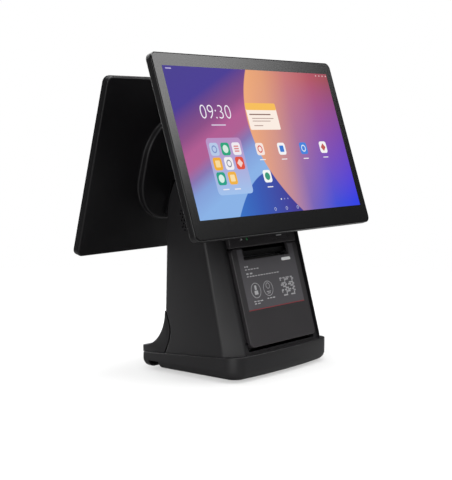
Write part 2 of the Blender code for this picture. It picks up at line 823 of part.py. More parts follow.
def gear_outline(teeth, turned):
    """Involute teeth of 20 degrees, thinned a little so that they run with play."""
    pitch = MODULE * teeth / 2
    base = pitch * math.cos(math.radians(20))
    root = pitch - 1.25 * MODULE
    tip = pitch + MODULE
    half = math.pi / (2 * teeth) * TOOTH_SHARE + involute(math.radians(20))
    start = max(base, root)
    flank = [start + (tip - start) * i / 4 for i in range(5)]
    points = []
    for tooth in range(teeth):
        middle = turned + 2 * math.pi * tooth / teeth
        angles = [half - involute(math.acos(base / r)) if r > base else half for r in flank]
        up = [(root, middle - angles[0])] if start > root else []
        up += [(r, middle - a) for r, a in zip(flank, angles)]
        down = [(r, 2 * middle - a) for r, a in reversed(up)]
        points += [(r * math.cos(a), r * math.sin(a)) for r, a in up + down]
    return points


def towards(start, end):
    return math.atan2(end[1] - start[1], end[0] - start[0])


def circle(radius, sides=24):
    return arc((0, 0), (radius, radius), 0, 360 * (sides - 1) / sides, sides - 1)


to_motor = MODULE * (MOTOR_TEETH + IDLER_TEETH) / 2
to_platen = MODULE * (PLATEN_TEETH + IDLER_TEETH) / 2
span = math.dist(MOTOR, PLATEN)
along = (to_motor**2 - to_platen**2 + span**2) / (2 * span)
below = math.sqrt(to_motor**2 - along**2)
line = towards(MOTOR, PLATEN)
IDLER = (
    MOTOR[0] + along * math.cos(line) - below * math.sin(line),
    MOTOR[1] + along * math.sin(line) + below * math.cos(line),
)
idler_turn = towards(IDLER, MOTOR)
motor_turn = towards(MOTOR, IDLER) + math.pi / MOTOR_TEETH
teeth_between = (towards(IDLER, PLATEN) - idler_turn) * IDLER_TEETH / (2 * math.pi)
share = teeth_between - round(teeth_between)
platen_turn = towards(PLATEN, IDLER) + (share + 0.5) * 2 * math.pi / PLATEN_TEETH

plate_out = PRINTER_WIDTH / 2
gear_x = plate_out + SEAT + GEAR_WIDTH / 2
idler_axis = empty("idler_axis", (0, IDLER[0], IDLER[1]), stand)
motor_axis = empty("motor_axis", (0, MOTOR[0], MOTOR[1]), stand)
for name, axis, teeth, turned, bore in (
    ("motor_gear", motor_axis, MOTOR_TEETH, motor_turn, SPINDLE_RADIUS),
    ("idler_gear", idler_axis, IDLER_TEETH, idler_turn, SPINDLE_RADIUS),
    ("platen_gear", platen_axis, PLATEN_TEETH, platen_turn, SHAFT_RADIUS),
):
    flat(
        name, [gear_outline(teeth, turned), circle(bore + SEAT)], GEAR_WIDTH, "YZ", "gear", axis,
        (gear_x, 0, 0),
    )
shaft_left = -(arm_near + COVER_ARM_PLATE + SHAFT_RADIUS)
shaft_length = gear_x + GEAR_WIDTH / 2 + CUT_OVER - shaft_left
cylinder("platen_shaft", SHAFT_RADIUS, (shaft_left, 0, 0), shaft_length, "X", "steel", platen_axis)


def tube(name, radius, bore, length, finish, axis, sides=32):
    """A round tube along X, with its middle on the axis."""
    made = cylinder(name, radius, (-length / 2, 0, 0), length, "X", finish, axis, sides)
    start = (-length / 2 - CUT_OVER, 0, 0)
    return cut(made, cylinder(name + "_bore", bore, start, length + 2 * CUT_OVER, "X", None, axis))


tube("platen_roller", PLATEN_RADIUS, SHAFT_RADIUS + SEAT, PLATEN_LENGTH, "rubber", platen_axis)


# ---------------------------------------------------------------- chassis, bucket and paper

bucket_inner = ROLL_RADIUS + BUCKET_ROOM
bucket_back = BUCKET_MIDDLE[0] + bucket_inner + BUCKET_WALL
chassis_front = bucket_back + SEAT
chassis_back = chassis_front + CHASSIS_THICK
chassis_low = base_top + SEAT
chassis = box(
    "chassis",
    (-CHASSIS_WIDTH / 2, chassis_front, chassis_low),
    (CHASSIS_WIDTH / 2, chassis_back, CHASSIS_TOP),
    "steel",
    stand,
)
shelf = box(
    "chassis_foot",
    (-CHASSIS_WIDTH / 2, chassis_front - CHASSIS_FOOT, chassis_low),
    (CHASSIS_WIDTH / 2, chassis_front + CHASSIS_THICK / 2, chassis_low + CHASSIS_THICK),
    None,
    stand,
)
add(chassis, shelf)
standoff_room = STANDOFF_RADIUS + STANDOFF_ROOM
for i, (x, y) in enumerate(standoffs[2:]):
    cut(
        chassis,
        box(
            f"standoff_room_{i}",
            (x - standoff_room, y - standoff_room, 0),
            (x + standoff_room, y + standoff_room, board_low - CUT_OVER),
            None,
            stand,
        ),
    )
cut(
    chassis,
    box(
        "chassis_window",
        (-PORT_WINDOW[0] / 2, chassis_front - 0.001, chassis_low + 2 * CHASSIS_THICK),
        (PORT_WINDOW[0] / 2, chassis_back + 0.001, PORT_WINDOW[1]),
        None,
        stand,
    ),
)

bucket_half = ROLL_WIDTH / 2 + BUCKET_SIDE_ROOM + BUCKET_WALL


def bucket_profile(radius, top):
    """The bucket from the side: round under the roll, straight up behind it, and cut back in front."""
    trough = arc(BUCKET_MIDDLE, (radius, radius), BUCKET_LIP, 360, 14)
    return trough + [(BUCKET_MIDDLE[0] + radius, top), (BUCKET_FRONT, top)]


bucket_outline = bucket_profile(bucket_inner + BUCKET_WALL, BUCKET_TOP)
bucket = flat("paper_bucket", [bucket_outline], 2 * bucket_half, "YZ", "black", stand)
mouth = bucket_profile(bucket_inner, BUCKET_TOP + CUT_OVER)
mouth[-1] = (BUCKET_FRONT - BUCKET_MOUTH, BUCKET_TOP + CUT_OVER)
mouth.append((BUCKET_FRONT - BUCKET_MOUTH, mouth[0][1]))
cut(bucket, flat("bucket_cavity", [mouth], 2 * (bucket_half - BUCKET_WALL), "YZ", None, stand))

roll_place = (BUCKET_MIDDLE[0], BUCKET_MIDDLE[1] - BUCKET_ROOM + SEAT)
roll_axis = empty("roll_axis", (0, roll_place[0], roll_place[1]), stand)
tube("paper_roll", ROLL_RADIUS, CORE_RADIUS + SEAT, ROLL_WIDTH, "paper", roll_axis, 48)
tube("paper_core", CORE_RADIUS, CORE_BORE, ROLL_WIDTH, "card", roll_axis)


# ---------------------------------------------------------------- print mechanism

frame_low = BUCKET_TOP + SEAT
plate_in = plate_out - PRINTER_PLATE
frame_back = chassis_front - SEAT
printer_frame = box(
    "printer_frame",
    (-plate_out, PRINTER_FRONT, frame_low),
    (plate_out, frame_back, PRINTER_TOP),
    "steel",
    stand,
)
cut(
    printer_frame,
    box(
        "printer_inside",
        (-plate_in, PRINTER_FRONT - CUT_OVER, frame_low + PRINTER_PLATE),
        (plate_in, frame_back - PRINTER_PLATE, PRINTER_TOP + CUT_OVER),
        None,
        stand,
    ),
    box(
        "paper_way",
        (-plate_in, PRINTER_FRONT - CUT_OVER, frame_low - CUT_OVER),
        (plate_in, frame_back - PAPER_BRIDGE, frame_low + 2 * PRINTER_PLATE),
        None,
        stand,
    ),
    box(
        "plate_corner",
        (-plate_out - CUT_OVER, PRINTER_FRONT - CUT_OVER, CUTTER_BOTTOM),
        (plate_out + CUT_OVER, PRINTER_FRONT + PRINTER_NOTCH, PRINTER_TOP + CUT_OVER),
        None,
        stand,
    ),
)
head_face = PLATEN[0] + PLATEN_RADIUS + SEAT
head_low = PLATEN[1] - HEAD_BELOW
head_half = PLATEN_LENGTH / 2
print_head = box(
    "print_head",
    (-head_half, head_face, head_low),
    (head_half, head_face + HEAD_THICK, CUTTER_BOTTOM - SEAT),
    "aluminium",
    stand,
)
head_back = head_face + HEAD_THICK
holder_front = head_back + SPRING_ROOM
head_holder = box(
    "head_holder",
    (-plate_in + SEAT, holder_front, head_low),
    (plate_in - SEAT, holder_front + HOLDER_DEPTH, CUTTER_BOTTOM - SEAT),
    "black",
    stand,
)


def coil_spring(name, x):
    """A coil of round wire from the print head back to its holder."""
    steps = SPRING_TURNS * 10
    length = SPRING_ROOM - 2 * (SEAT + SPRING_WIRE)
    wire = bpy.data.curves.new(name, "CURVE")
    wire.dimensions = "3D"
    wire.bevel_depth = SPRING_WIRE
    wire.bevel_resolution = 1
    wire.use_fill_caps = True
    spline = wire.splines.new("POLY")
    spline.points.add(steps)
    for i, point in enumerate(spline.points):
        angle = 2 * math.pi * SPRING_TURNS * i / steps
        point.co = (SPRING_RADIUS * math.cos(angle), length * i / steps, SPRING_RADIUS * math.sin(angle), 1)
    spring = bpy.data.objects.new(name, wire)
    wire.materials.append(material("steel"))
    spring.parent = stand
    spring.location = (x, head_back + SEAT + SPRING_WIRE, PLATEN[1] - SPRING_RADIUS)
    PARTS.objects.link(spring)


coil_spring("head_spring_left", -SPRING_X)
coil_spring("head_spring_right", SPRING_X)

cutter_half = CUTTER_WIDTH / 2
paper_line = PLATEN[0] + PLATEN_RADIUS
cutter = box(
    "cutter_frame",
    (-cutter_half, CUTTER_FRONT, CUTTER_BOTTOM),
    (cutter_half, CUTTER_BACK, CUTTER_TOP),
    "black",
    stand,
)
blade_low = (CUTTER_BOTTOM + CUTTER_TOP - BLADE_THICK) / 2
blade_tip = paper_line + PAPER_SLOT / 2 + RUNNING
blade_half = head_half
cut(
    cutter,
    box(
        "paper_slot_cutter",
        (-blade_half - RUNNING, paper_line - PAPER_SLOT / 2, CUTTER_BOTTOM - CUT_OVER),
        (blade_half + RUNNING, paper_line + PAPER_SLOT / 2, CUTTER_TOP + CUT_OVER),
        None,
        stand,
    ),
    box(
        "blade_slot_cutter",
        (-blade_half - RUNNING, blade_tip - BLADE_TRAVEL - 2 * RUNNING, blade_low - RUNNING),
        (blade_half + RUNNING, CUTTER_BACK + CUT_OVER, blade_low + BLADE_THICK + RUNNING),
        None,
        stand,
    ),
)
box(
    "cutter_blade",
    (-blade_half, blade_tip, blade_low),
    (blade_half, blade_tip + BLADE_BACK, blade_low + BLADE_THICK),
    "steel",
    stand,
)
motor_back = plate_in - SEAT
motor = cylinder(
    "feed_motor", MOTOR_RADIUS, (motor_back - MOTOR_LENGTH, 0, 0), MOTOR_LENGTH, "X", "steel", motor_axis
)
spindle_start = (motor_back - CUT_OVER, 0, 0)
spindle_length = gear_x + GEAR_WIDTH / 2 + SEAT - spindle_start[0]
add(motor, cylinder("motor_spindle", SPINDLE_RADIUS, spindle_start, spindle_length, "X", None, motor_axis, 20))
stud_start = (plate_out - PRINTER_PLATE / 2, 0, 0)
stud_length = gear_x + GEAR_WIDTH / 2 - stud_start[0]
add(
    cut(
        printer_frame,
        cylinder(
            "spindle_hole", SPINDLE_RADIUS + SEAT, (plate_in - CUT_OVER, 0, 0),
            PRINTER_PLATE + 2 * CUT_OVER, "X", None, motor_axis, 20,
        ),
    ),
    cylinder("idler_stud", SPINDLE_RADIUS, stud_start, stud_length, "X", None, idler_axis, 20),
)


# ---------------------------------------------------------------- electronics and speakers

board = box(
    "main_board",
    (-board_half, MAIN_BOARD[1], board_low),
    (board_half, MAIN_BOARD[2], board_low + BOARD_THICK),
    "board",
    stand,
)
part_low = board_low + BOARD_THICK + SEAT
sink = box(
    "heat_sink",
    (-HEAT_SINK[0] / 2, HEAT_SINK_FRONT, part_low),
    (HEAT_SINK[0] / 2, HEAT_SINK_FRONT + HEAT_SINK[1], part_low + HEAT_SINK[2]),
    "aluminium",
    stand,
)
for i in range(FIN_GAPS):
    x = HEAT_SINK[0] * ((i + 0.5) / FIN_GAPS - 0.5)
    cut(
        sink,
        box(
            f"fin_gap_{i}",
            (x - FIN_GAP / 2, HEAT_SINK_FRONT - CUT_OVER, part_low + HEAT_SINK_FLOOR),
            (x + FIN_GAP / 2, HEAT_SINK_FRONT + HEAT_SINK[1] + CUT_OVER, part_low + HEAT_SINK[2] + CUT_OVER),
            None,
            stand,
        ),
    )

port_back = MAIN_BOARD[2] + CUT_OVER
for name, (x, width, height, socket_width, socket_height, finish) in PORTS.items():
    port = box(
        name,
        (x - width / 2, port_back - PORT_DEPTH, part_low),
        (x + width / 2, port_back, part_low + height),
        finish,
        stand,
    )
    middle = part_low + height / 2
    cut(
        port,
        box(
            name + "_socket",
            (x - socket_width / 2, port_back - PORT_DEPTH + PORT_WALL, middle - socket_height / 2),
            (x + socket_width / 2, port_back + CUT_OVER, middle + socket_height / 2),
            None,
            stand,
        ),
    )

for side, label in ((-1, "left"), (1, "right")):
    inner = COLUMN_WIDTH / 2 - COLUMN_WALL - SEAT
    start = inner - SPEAKER_DEPTH if side > 0 else -inner
    place = (start, SPEAKER_PLACE[0], SPEAKER_PLACE[1])
    bevel(cylinder(f"speaker_{label}", SPEAKER_RADIUS, place, SPEAKER_DEPTH, "X", "black", stand), 0.0015, 2)

# The power button goes through the plinth's right side
side_face = PLINTH_WIDTH / 2
power_y, power_z = POWER_PLACE
power_start = (side_face - POWER_LENGTH, power_y, power_z)
power_bore = POWER_RADIUS + SEAT
cut(plinth, cylinder("power_hole", power_bore, power_start, 2 * POWER_LENGTH, "X", None, stand, 24))
power = cylinder("power_button", POWER_RADIUS, power_start, POWER_LENGTH, "X", "black", stand, 24)
flange_start = (side_face - PLINTH_WALL - RUNNING - FLANGE_THICK, power_y, power_z)
power_rim = POWER_RADIUS + FLANGE_WIDTH
add(power, cylinder("power_flange", power_rim, flange_start, FLANGE_THICK, "X", None, stand, 24))


# ---------------------------------------------------------------- displays, hinges and arms


def display(label, hinge, lean, facing):
    """One display on its hinge: glass, panel, back shell, driver board, hinge leaf and pin."""
    y, z, depth = hinge
    turn = (-lean, 0, 0) if facing < 0 else (-lean, 0, math.pi)
    head = empty(f"{label}_head", (0, y, z), stand, turn)
    picture = (0, -depth, HINGE_DROP)
    glass_back = -depth + GLASS_THICK
    outline = rounded(GLASS_WIDTH, -GLASS_BELOW, GLASS_ABOVE, GLASS_RADIUS)
    glass = flat(
        f"{label}_glass", [outline], GLASS_THICK, "XZ", "glass", head,
        (0, picture[1] + GLASS_THICK / 2, HINGE_DROP),
    )
    bevel(glass, 0.0004, 1)
    back_front = glass_back + SEAT
    shell = flat(
        f"{label}_back_shell", [outline], BACK_DEPTH, "XZ", "housing", head,
        (0, back_front + BACK_DEPTH / 2, HINGE_DROP),
    )
    bevel(shell, 0.0010, 2)
    middle = (GLASS_ABOVE - GLASS_BELOW) / 2
    bulge = rounded(BULGE_WIDTH, middle - BULGE_HEIGHT / 2, middle + BULGE_HEIGHT / 2, BULGE_RADIUS, 8)
    bulge_far = back_front + BACK_DEPTH + BULGE_DEPTH
    bump_depth = BULGE_DEPTH + BACK_WALL
    bump = flat(
        f"{label}_bulge", [bulge], bump_depth, "XZ", None, head, (0, bulge_far - bump_depth / 2, HINGE_DROP)
    )
    bevel(bump, BULGE_EDGE, 2)
    tray = inset(outline, BACK_WALL)
    tray_back = back_front + BACK_DEPTH - BACK_WALL
    tray_depth = BACK_DEPTH
    cavity = flat(
        f"{label}_cavity", [tray], tray_depth, "XZ", None, head, (0, tray_back - tray_depth / 2, HINGE_DROP)
    )
    pocket = flat(
        f"{label}_pocket", [inset(bulge, BACK_WALL + BULGE_EDGE / 2)], bump_depth, "XZ", None, head,
        (0, bulge_far - BACK_WALL - bump_depth / 2, HINGE_DROP),
    )
    cut(add(shell, bump), cavity, pocket)
    half = PANEL_WIDTH / 2
    box(
        f"{label}_panel",
        (-half, glass_back + SEAT, HINGE_DROP - PANEL_HEIGHT / 2),
        (half, glass_back + SEAT + PANEL_THICK, HINGE_DROP + PANEL_HEIGHT / 2),
        "panel",
        head,
    )
    board_far = bulge_far - BACK_WALL - SEAT
    wide, tall = DRIVER_BOARD
    box(
        f"{label}_driver_board",
        (-wide / 2, board_far - BOARD_THICK, HINGE_DROP + middle - tall / 2),
        (wide / 2, board_far, HINGE_DROP + middle + tall / 2),
        "board",
        head,
    )
    knuckle_out = ARM_WIDTH / 2 + RUNNING + LEAF_KNUCKLE
    leaf_near = bulge_far + SEAT
    leaf = box(
        f"{label}_hinge_leaf",
        (-knuckle_out, leaf_near, -LEAF_HEIGHT / 2),
        (knuckle_out, leaf_near + LEAF_THICK, LEAF_HEIGHT / 2),
        "steel",
        head,
    )
    web_half = KNUCKLE_RADIUS * KNUCKLE_WEB
    for side in (-1, 1):
        start = -knuckle_out if side < 0 else ARM_WIDTH / 2 + RUNNING
        add(
            leaf,
            cylinder(
                f"{label}_knuckle_{side}", KNUCKLE_RADIUS, (start, 0, 0), LEAF_KNUCKLE, "X", None, head, 28
            ),
            box(
                f"{label}_web_{side}",
                (start, leaf_near + LEAF_THICK / 2, -web_half),
                (start + LEAF_KNUCKLE, -HINGE_PIN_RADIUS / 2, web_half),
                None,
                head,
            ),
        )
    cut(
        leaf,
        box(
            f"{label}_leaf_relief",
            (-ARM_WIDTH / 2 - RUNNING, leaf_near + LEAF_THICK, -LEAF_HEIGHT),
            (ARM_WIDTH / 2 + RUNNING, LEAF_HEIGHT, LEAF_HEIGHT),
            None,
            head,
        ),
        cylinder(
            f"{label}_leaf_bore", PIN_BORE, (-knuckle_out - CUT_OVER, 0, 0),
            2 * (knuckle_out + CUT_OVER), "X", None, head, 28,
        ),
    )
    pin_start = (-knuckle_out, 0, 0)
    cylinder(f"{label}_hinge_pin", HINGE_PIN_RADIUS, pin_start, 2 * knuckle_out, "X", "steel", head, 28)


PIN_BORE = HINGE_PIN_RADIUS + SEAT
display("front", FRONT_HINGE, FRONT_LEAN, -1)
display("rear", REAR_HINGE, REAR_LEAN, 1)


def arm(label, outline, hinge):
    """A beam from the chassis to a hinge, with the hinge's middle knuckle on its end."""
    y, z, _ = hinge
    made = flat(f"{label}_arm", [outline], ARM_WIDTH, "YZ", "black", stand)
    radius = KNUCKLE_RADIUS - RUNNING
    knuckle = cylinder(f"{label}_arm_knuckle", radius, (-ARM_WIDTH / 2, y, z), ARM_WIDTH, "X", None, stand, 28)
    bore = cylinder(f"{label}_arm_bore", PIN_BORE, (-ARM_WIDTH, y, z), 2 * ARM_WIDTH, "X", None, stand, 28)
    cut(add(made, knuckle), bore)


half = ARM_THICK / 2
root = chassis_front - SEAT
arm(
    "front",
    [
        (front_y, front_z - half),
        (-ARM_ELBOW, front_z - half),
        (root, CHASSIS_TOP - 2 * ARM_THICK),
        (root, CHASSIS_TOP),
        (0, front_z + half),
        (front_y, front_z + half),
    ],
    FRONT_HINGE,
)
arm(
    "rear",
    [
        (chassis_back + SEAT, rear_z - half),
        (rear_y, rear_z - half),
        (rear_y, rear_z + half),
        (chassis_back + SEAT, rear_z + half),
    ],
    REAR_HINGE,
)
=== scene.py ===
"""The looks of a counter-top sales terminal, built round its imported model.

Everything is in metres: +X to the cashier's right, +Y towards the customer, +Z up from the counter.
"""

import json
import math

import bmesh
import bpy
import numpy as np
from mathutils import Matrix, Vector


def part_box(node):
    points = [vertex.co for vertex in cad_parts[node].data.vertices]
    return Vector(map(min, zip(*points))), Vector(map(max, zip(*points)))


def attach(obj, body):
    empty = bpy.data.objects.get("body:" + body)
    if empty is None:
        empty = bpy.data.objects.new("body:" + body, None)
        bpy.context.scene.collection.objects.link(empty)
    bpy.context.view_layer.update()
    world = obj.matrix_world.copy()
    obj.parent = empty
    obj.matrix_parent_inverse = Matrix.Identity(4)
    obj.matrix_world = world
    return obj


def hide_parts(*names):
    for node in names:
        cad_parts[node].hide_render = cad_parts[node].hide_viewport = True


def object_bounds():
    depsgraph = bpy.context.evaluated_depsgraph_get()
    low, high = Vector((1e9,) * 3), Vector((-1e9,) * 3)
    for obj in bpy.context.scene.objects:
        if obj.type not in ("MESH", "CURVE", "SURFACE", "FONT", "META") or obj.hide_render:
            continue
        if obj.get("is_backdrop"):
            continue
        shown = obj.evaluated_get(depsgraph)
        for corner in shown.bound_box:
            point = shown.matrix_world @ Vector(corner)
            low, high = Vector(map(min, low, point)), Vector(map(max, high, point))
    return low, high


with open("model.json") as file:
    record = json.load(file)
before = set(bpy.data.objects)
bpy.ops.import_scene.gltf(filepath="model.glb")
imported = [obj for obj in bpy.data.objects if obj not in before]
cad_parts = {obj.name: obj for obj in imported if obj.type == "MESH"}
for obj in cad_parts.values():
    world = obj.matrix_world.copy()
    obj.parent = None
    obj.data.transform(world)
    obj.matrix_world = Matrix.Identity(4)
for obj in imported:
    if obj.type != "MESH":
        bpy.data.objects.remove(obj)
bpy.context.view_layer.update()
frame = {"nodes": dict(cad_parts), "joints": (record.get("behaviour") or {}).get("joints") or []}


# ---------------------------------------------------------------- studio
# A pale floor that fades into a white room, five soft boxes and a camera. The boxes stand round the
# terminal: at its left, in front on the right, overhead, behind it, and a narrow one for its edges.

AIM = Vector((0.0048, 0.0080, 0.1664))
CAMERA_PLACE = (-50.34, 5.9)  # turn and rise in degrees
CAMERA_DISTANCE = 1.55
LENS = 85.37
ROOM_WHITE = 1.0  # as the camera sees it
ROOM_LIGHT = 0.10  # as it lights the terminal
FLOOR_RADIUS = 1.3
FLOOR_SIDES = 96
FLOOR_BELOW = 0.0002
FLOOR_SHOWS = 0.5  # the rest is the white room, seen through it
FLOOR_WHITE = (0.92, 0.92, 0.92, 1)


class Value:
    """A shader socket that can be written in sums: each operator adds one Math node."""

    def __init__(self, tree, socket=None):
        self.tree = tree
        self.socket = socket

    def node(self, kind, settings, values, out=0):
        """Adds any other node: its settings come first, then its sockets' values or links."""
        made = self.tree.nodes.new("ShaderNode" + kind)
        stops = settings.pop("stops", None)
        for name, setting in settings.items():
            setattr(made, name, setting)
        if stops:
            elements = made.color_ramp.elements
            while len(elements) < len(stops):
                elements.new(1)
            for element, (place, colour) in zip(elements, stops):
                element.position = place
                element.color = colour
        for name, value in values.items():
            if isinstance(value, Value):
                self.tree.links.new(value.socket, made.inputs[name])
            else:
                made.inputs[name].default_value = value
        return Value(self.tree, made.outputs[out])

    def math(self, operation, *others, **settings):
        return self.node("Math", {"operation": operation, **settings}, dict(enumerate((self, *others))))

    def __add__(self, other):
        return self.math("ADD", other)

    def __sub__(self, other):
        return self.math("SUBTRACT", other)

    def __rsub__(self, other):
        return self.math("MULTIPLY_ADD", -1, other)

    def __mul__(self, other):
        return self.math("MULTIPLY", other)

    def __truediv__(self, other):
        return self.math("DIVIDE", other)

    __radd__ = __add__
    __rmul__ = __mul__

    def clamped(self):
        return self.math("ADD", 0, use_clamp=True)

    def above(self, edge, softness):
        """0 below the edge and 1 above it, with a slope of the given width between."""
        return ((self - edge) / softness + 0.5).clamped()

    def mix(self, low, high):
        """A colour between two, by this value."""
        return self.node("Mix", {"data_type": "RGBA"}, {0: self, 6: low, 7: high}, 2)


def link(obj):
    bpy.context.scene.collection.objects.link(obj)
    return obj


def mesh_object(name, points, faces):
    mesh = bpy.data.meshes.new(name)
    mesh.from_pydata(points, [], faces)
    return link(bpy.data.objects.new(name, mesh))


def circle(sides):
    """Points round the unit circle, anticlockwise, all level."""
    angle = np.linspace(0, 2 * math.pi, sides + 1)[:-1]
    return np.stack([np.cos(angle), np.sin(angle), np.zeros(sides)], axis=1)


def facing(point, target):
    """The turn of a lamp or camera at a point that looks at a target."""
    return (target - point).to_track_quat("-Z", "Y").to_euler()


def towards(turn, rise):
    """The direction that is turned from the front and raised by two angles in degrees."""
    turn, rise = math.radians(turn), math.radians(rise)
    return Vector((math.sin(turn) * math.cos(rise), -math.cos(turn) * math.cos(rise), math.sin(rise)))


def soft_box(name, direction, distance, size, power):
    """A flat lamp in a direction (azimuth and height in degrees) from the terminal's middle."""
    lamp = bpy.data.lights.new(name, "AREA")
    lamp.shape = "RECTANGLE"
    lamp.size, lamp.size_y = size
    lamp.energy = power
    box = link(bpy.data.objects.new(name, lamp))
    box.location = AIM + towards(*direction) * distance
    box.rotation_euler = facing(box.location, AIM)
    return box


camera = link(bpy.data.objects.new("camera", bpy.data.cameras.new("camera")))
camera.location = AIM + towards(*CAMERA_PLACE) * CAMERA_DISTANCE
camera.rotation_euler = facing(camera.location, AIM)
camera.data.lens = LENS
bpy.context.scene.camera = camera
bpy.context.scene.view_settings.view_transform = "Standard"

soft_box("left_box", (-62, 12), 1.9, (1.0, 1.4), 17)
soft_box("front_box", (43, 38), 2.08, (1.10, 0.80), 14)
soft_box("top_box", (-20, 84), 1.9, (1.6, 1.6), 44)
soft_box("rear_box", (160, 35), 2.0, (1.2, 1.2), 18)
soft_box("edge_box", (-174, 12), 2.0, (0.5, 1.6), 26)

room = bpy.data.worlds.new("room")
room.use_nodes = True
bpy.context.scene.world = room
walls = room.node_tree.nodes["Background"]
walls.inputs["Color"].default_value = (1, 1, 1, 1)
seen = Value(room.node_tree).node("LightPath", {}, {}, "Is Camera Ray")
strength = seen * (ROOM_WHITE - ROOM_LIGHT) + ROOM_LIGHT
room.node_tree.links.new(strength.socket, walls.inputs["Strength"])

floor_edge = circle(FLOOR_SIDES) * FLOOR_RADIUS - [0, 0, FLOOR_BELOW]
floor = mesh_object("floor", floor_edge, [list(range(FLOOR_SIDES))])
pale = bpy.data.materials.new("pale_floor")
pale.use_nodes = True
start = Value(pale.node_tree)
place = start.node("TexCoord", {}, {}, "Object")
away = place.node("VectorMath", {"operation": "LENGTH"}, {0: place}, "Value")
fade = away.above(FLOOR_RADIUS * 0.5, FLOOR_RADIUS * 0.7) * (1 - FLOOR_SHOWS) + (1 - FLOOR_SHOWS)
matt = start.node("BsdfDiffuse", {}, {"Color": FLOOR_WHITE})
clear = start.node("BsdfTransparent", {}, {})
both = start.node("MixShader", {}, {0: fade, 1: matt, 2: clear})
pale.node_tree.links.new(both.socket, pale.node_tree.nodes["Material Output"].inputs["Surface"])
floor.data.materials.append(pale)
floor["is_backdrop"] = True


# ---------------------------------------------------------------- plinth
# The plinth is one deep moulding with a bowed front, a rounded lower edge and a narrow deck that slopes
# up towards the cashier. Cables leave through a notch in each side. It stands on four rubber feet.

HOUSING = "#171618"
PLINTH_BOW = 0.0045
PLINTH_CORNERS = (0.0220, 0.0050)  # front, back
PLINTH_LEAST = 0.0008  # the least radius of a corner on the inner rings
PLINTH_FOOT = 0.0020
PLINTH_SLOPE = 0.0667  # how fast the deck rises
PLINTH_BACK_TOP = 0.0218
PLINTH_ROUND = 0.0120  # round the lower edge
PLINTH_BROW = 0.0014  # round the upper edge
PLINTH_WALL = 0.0025
DECK_WIDTH = 0.0090
NOTCH = (0.0180, 0.0114)  # width, top
NOTCH_FORWARD = 0.0208  # from the plinth's back to the notch's middle
GAP = 0.0003  # between pieces that rest on or run in each other


def shade(code):
    """The linear colour of a six-digit sRGB code."""
    parts = [int(code[i:i + 2], 16) / 255 for i in (1, 3, 5)]
    return (*[p / 12.92 if p < 0.04045 else ((p + 0.055) / 1.055) ** 2.4 for p in parts], 1)


def finish(name, roughness, metallic=0.0, **fixed):
    """A material and the start of its nodes. What is the same all over is set on the shader itself."""
    material = bpy.data.materials.new(name)
    material.use_nodes = True
    shader = material.node_tree.nodes["Principled BSDF"]
    shader.inputs["Roughness"].default_value = roughness
    shader.inputs["Metallic"].default_value = metallic
    for socket, value in fixed.items():
        shader.inputs[socket.replace("_", " ")].default_value = value
    return material, Value(material.node_tree)


def feed(material, socket, value):
    """Links a value that varies over the surface to the material's shader."""
    shader = material.node_tree.nodes["Principled BSDF"]
    material.node_tree.links.new(value.socket, shader.inputs[socket])


def noise(place, scale, detail=2.0):
    return place.node("TexNoise", {}, {"Vector": place, "Scale": scale, "Detail": detail})


def moulded(name, code, roughness, grain=2600, relief=0.00003, **fixed):
    """Moulded plastic: a fine eroded grain, and broad patches that are a little darker and shinier."""
    material, start = finish(name, roughness, **fixed)
    place = start.node("TexCoord", {}, {}, "Object")
    broad = noise(place, 22, 3)
    fine = noise(place, grain, 1)
    colour = shade(code)
    worn = tuple(c * 1.22 for c in colour[:3]) + (1,)
    feed(material, "Base Color", broad.mix(colour, worn))
    feed(material, "Roughness", roughness - 0.05 + broad * 0.08 + fine * 0.04)
    bump = start.node("Bump", {}, {"Height": fine, "Distance": relief, "Strength": 0.6})
    feed(material, "Normal", bump)
    return material


def arc(middle, radii, start, end, steps):
    """Points of an ellipse between two angles in degrees, one pair of cosine and sine each."""
    angle = np.radians(np.linspace(start, end, steps + 1))
    return np.stack([middle[0] + radii[0] * np.cos(angle), middle[1] + radii[1] * np.sin(angle)], axis=1)


def quarter(steps):
    """A rounded edge from the flat to the side: how far in and how deep, in parts of its radius."""
    angle = np.radians(np.linspace(0, 90, steps))
    return list(zip(1 - np.sin(angle), 1 - np.cos(angle)))


def skin_faces(rows, count, capped, closed=False):
    """Quads between closed rows of points, and a cap on each end or a last row joined to the first."""
    row = np.arange(rows - (not closed))[:, None]
    i = np.arange(count)[None, :]
    j = (i + 1) % count
    after = (row + 1) % rows
    quads = np.stack([row * count + i, row * count + j, after * count + j, after * count + i], axis=-1)
    faces = quads.reshape(-1, 4).tolist()
    if capped:
        faces.append(list(range(count))[::-1])
        faces.append(list(range((rows - 1) * count, rows * count)))
    return faces


def set_normals_out(mesh, merge=True):
    bm = bmesh.new()
    bm.from_mesh(mesh)
    if merge:
        bmesh.ops.remove_doubles(bm, verts=bm.verts, dist=1e-6)
    bmesh.ops.recalc_face_normals(bm, faces=bm.faces)
    bm.to_mesh(mesh)
    bm.free()


def skin(name, rings, capped=True, closed=False):
    """A surface through rows of points, an array of rows x points x 3."""
    rings = np.asarray(rings, float)
    rows, count, _ = rings.shape
    made = mesh_object(name, rings.reshape(-1, 3), skin_faces(rows, count, capped, closed))
    set_normals_out(made.data)
    return made


def block(name, low, high):
    """A plain box, for cutting with."""
    corners = np.array([[x, y, z] for x in (0, 1) for y in (0, 1) for z in (0, 1)], float)
    faces = [(0, 1, 3, 2), (4, 6, 7, 5), (0, 4, 5, 1), (2, 3, 7, 6), (0, 2, 6, 4), (1, 5, 7, 3)]
    low, high = np.minimum(low, high), np.maximum(low, high)
    return mesh_object(name, low + corners * (high - low), faces)


def settle(piece):
    """Applies a piece's modifiers to its mesh."""
    graph = bpy.context.evaluated_depsgraph_get()
    mesh = bpy.data.meshes.new_from_object(piece.evaluated_get(graph))
    piece.modifiers.clear()
    piece.data = mesh
    return piece


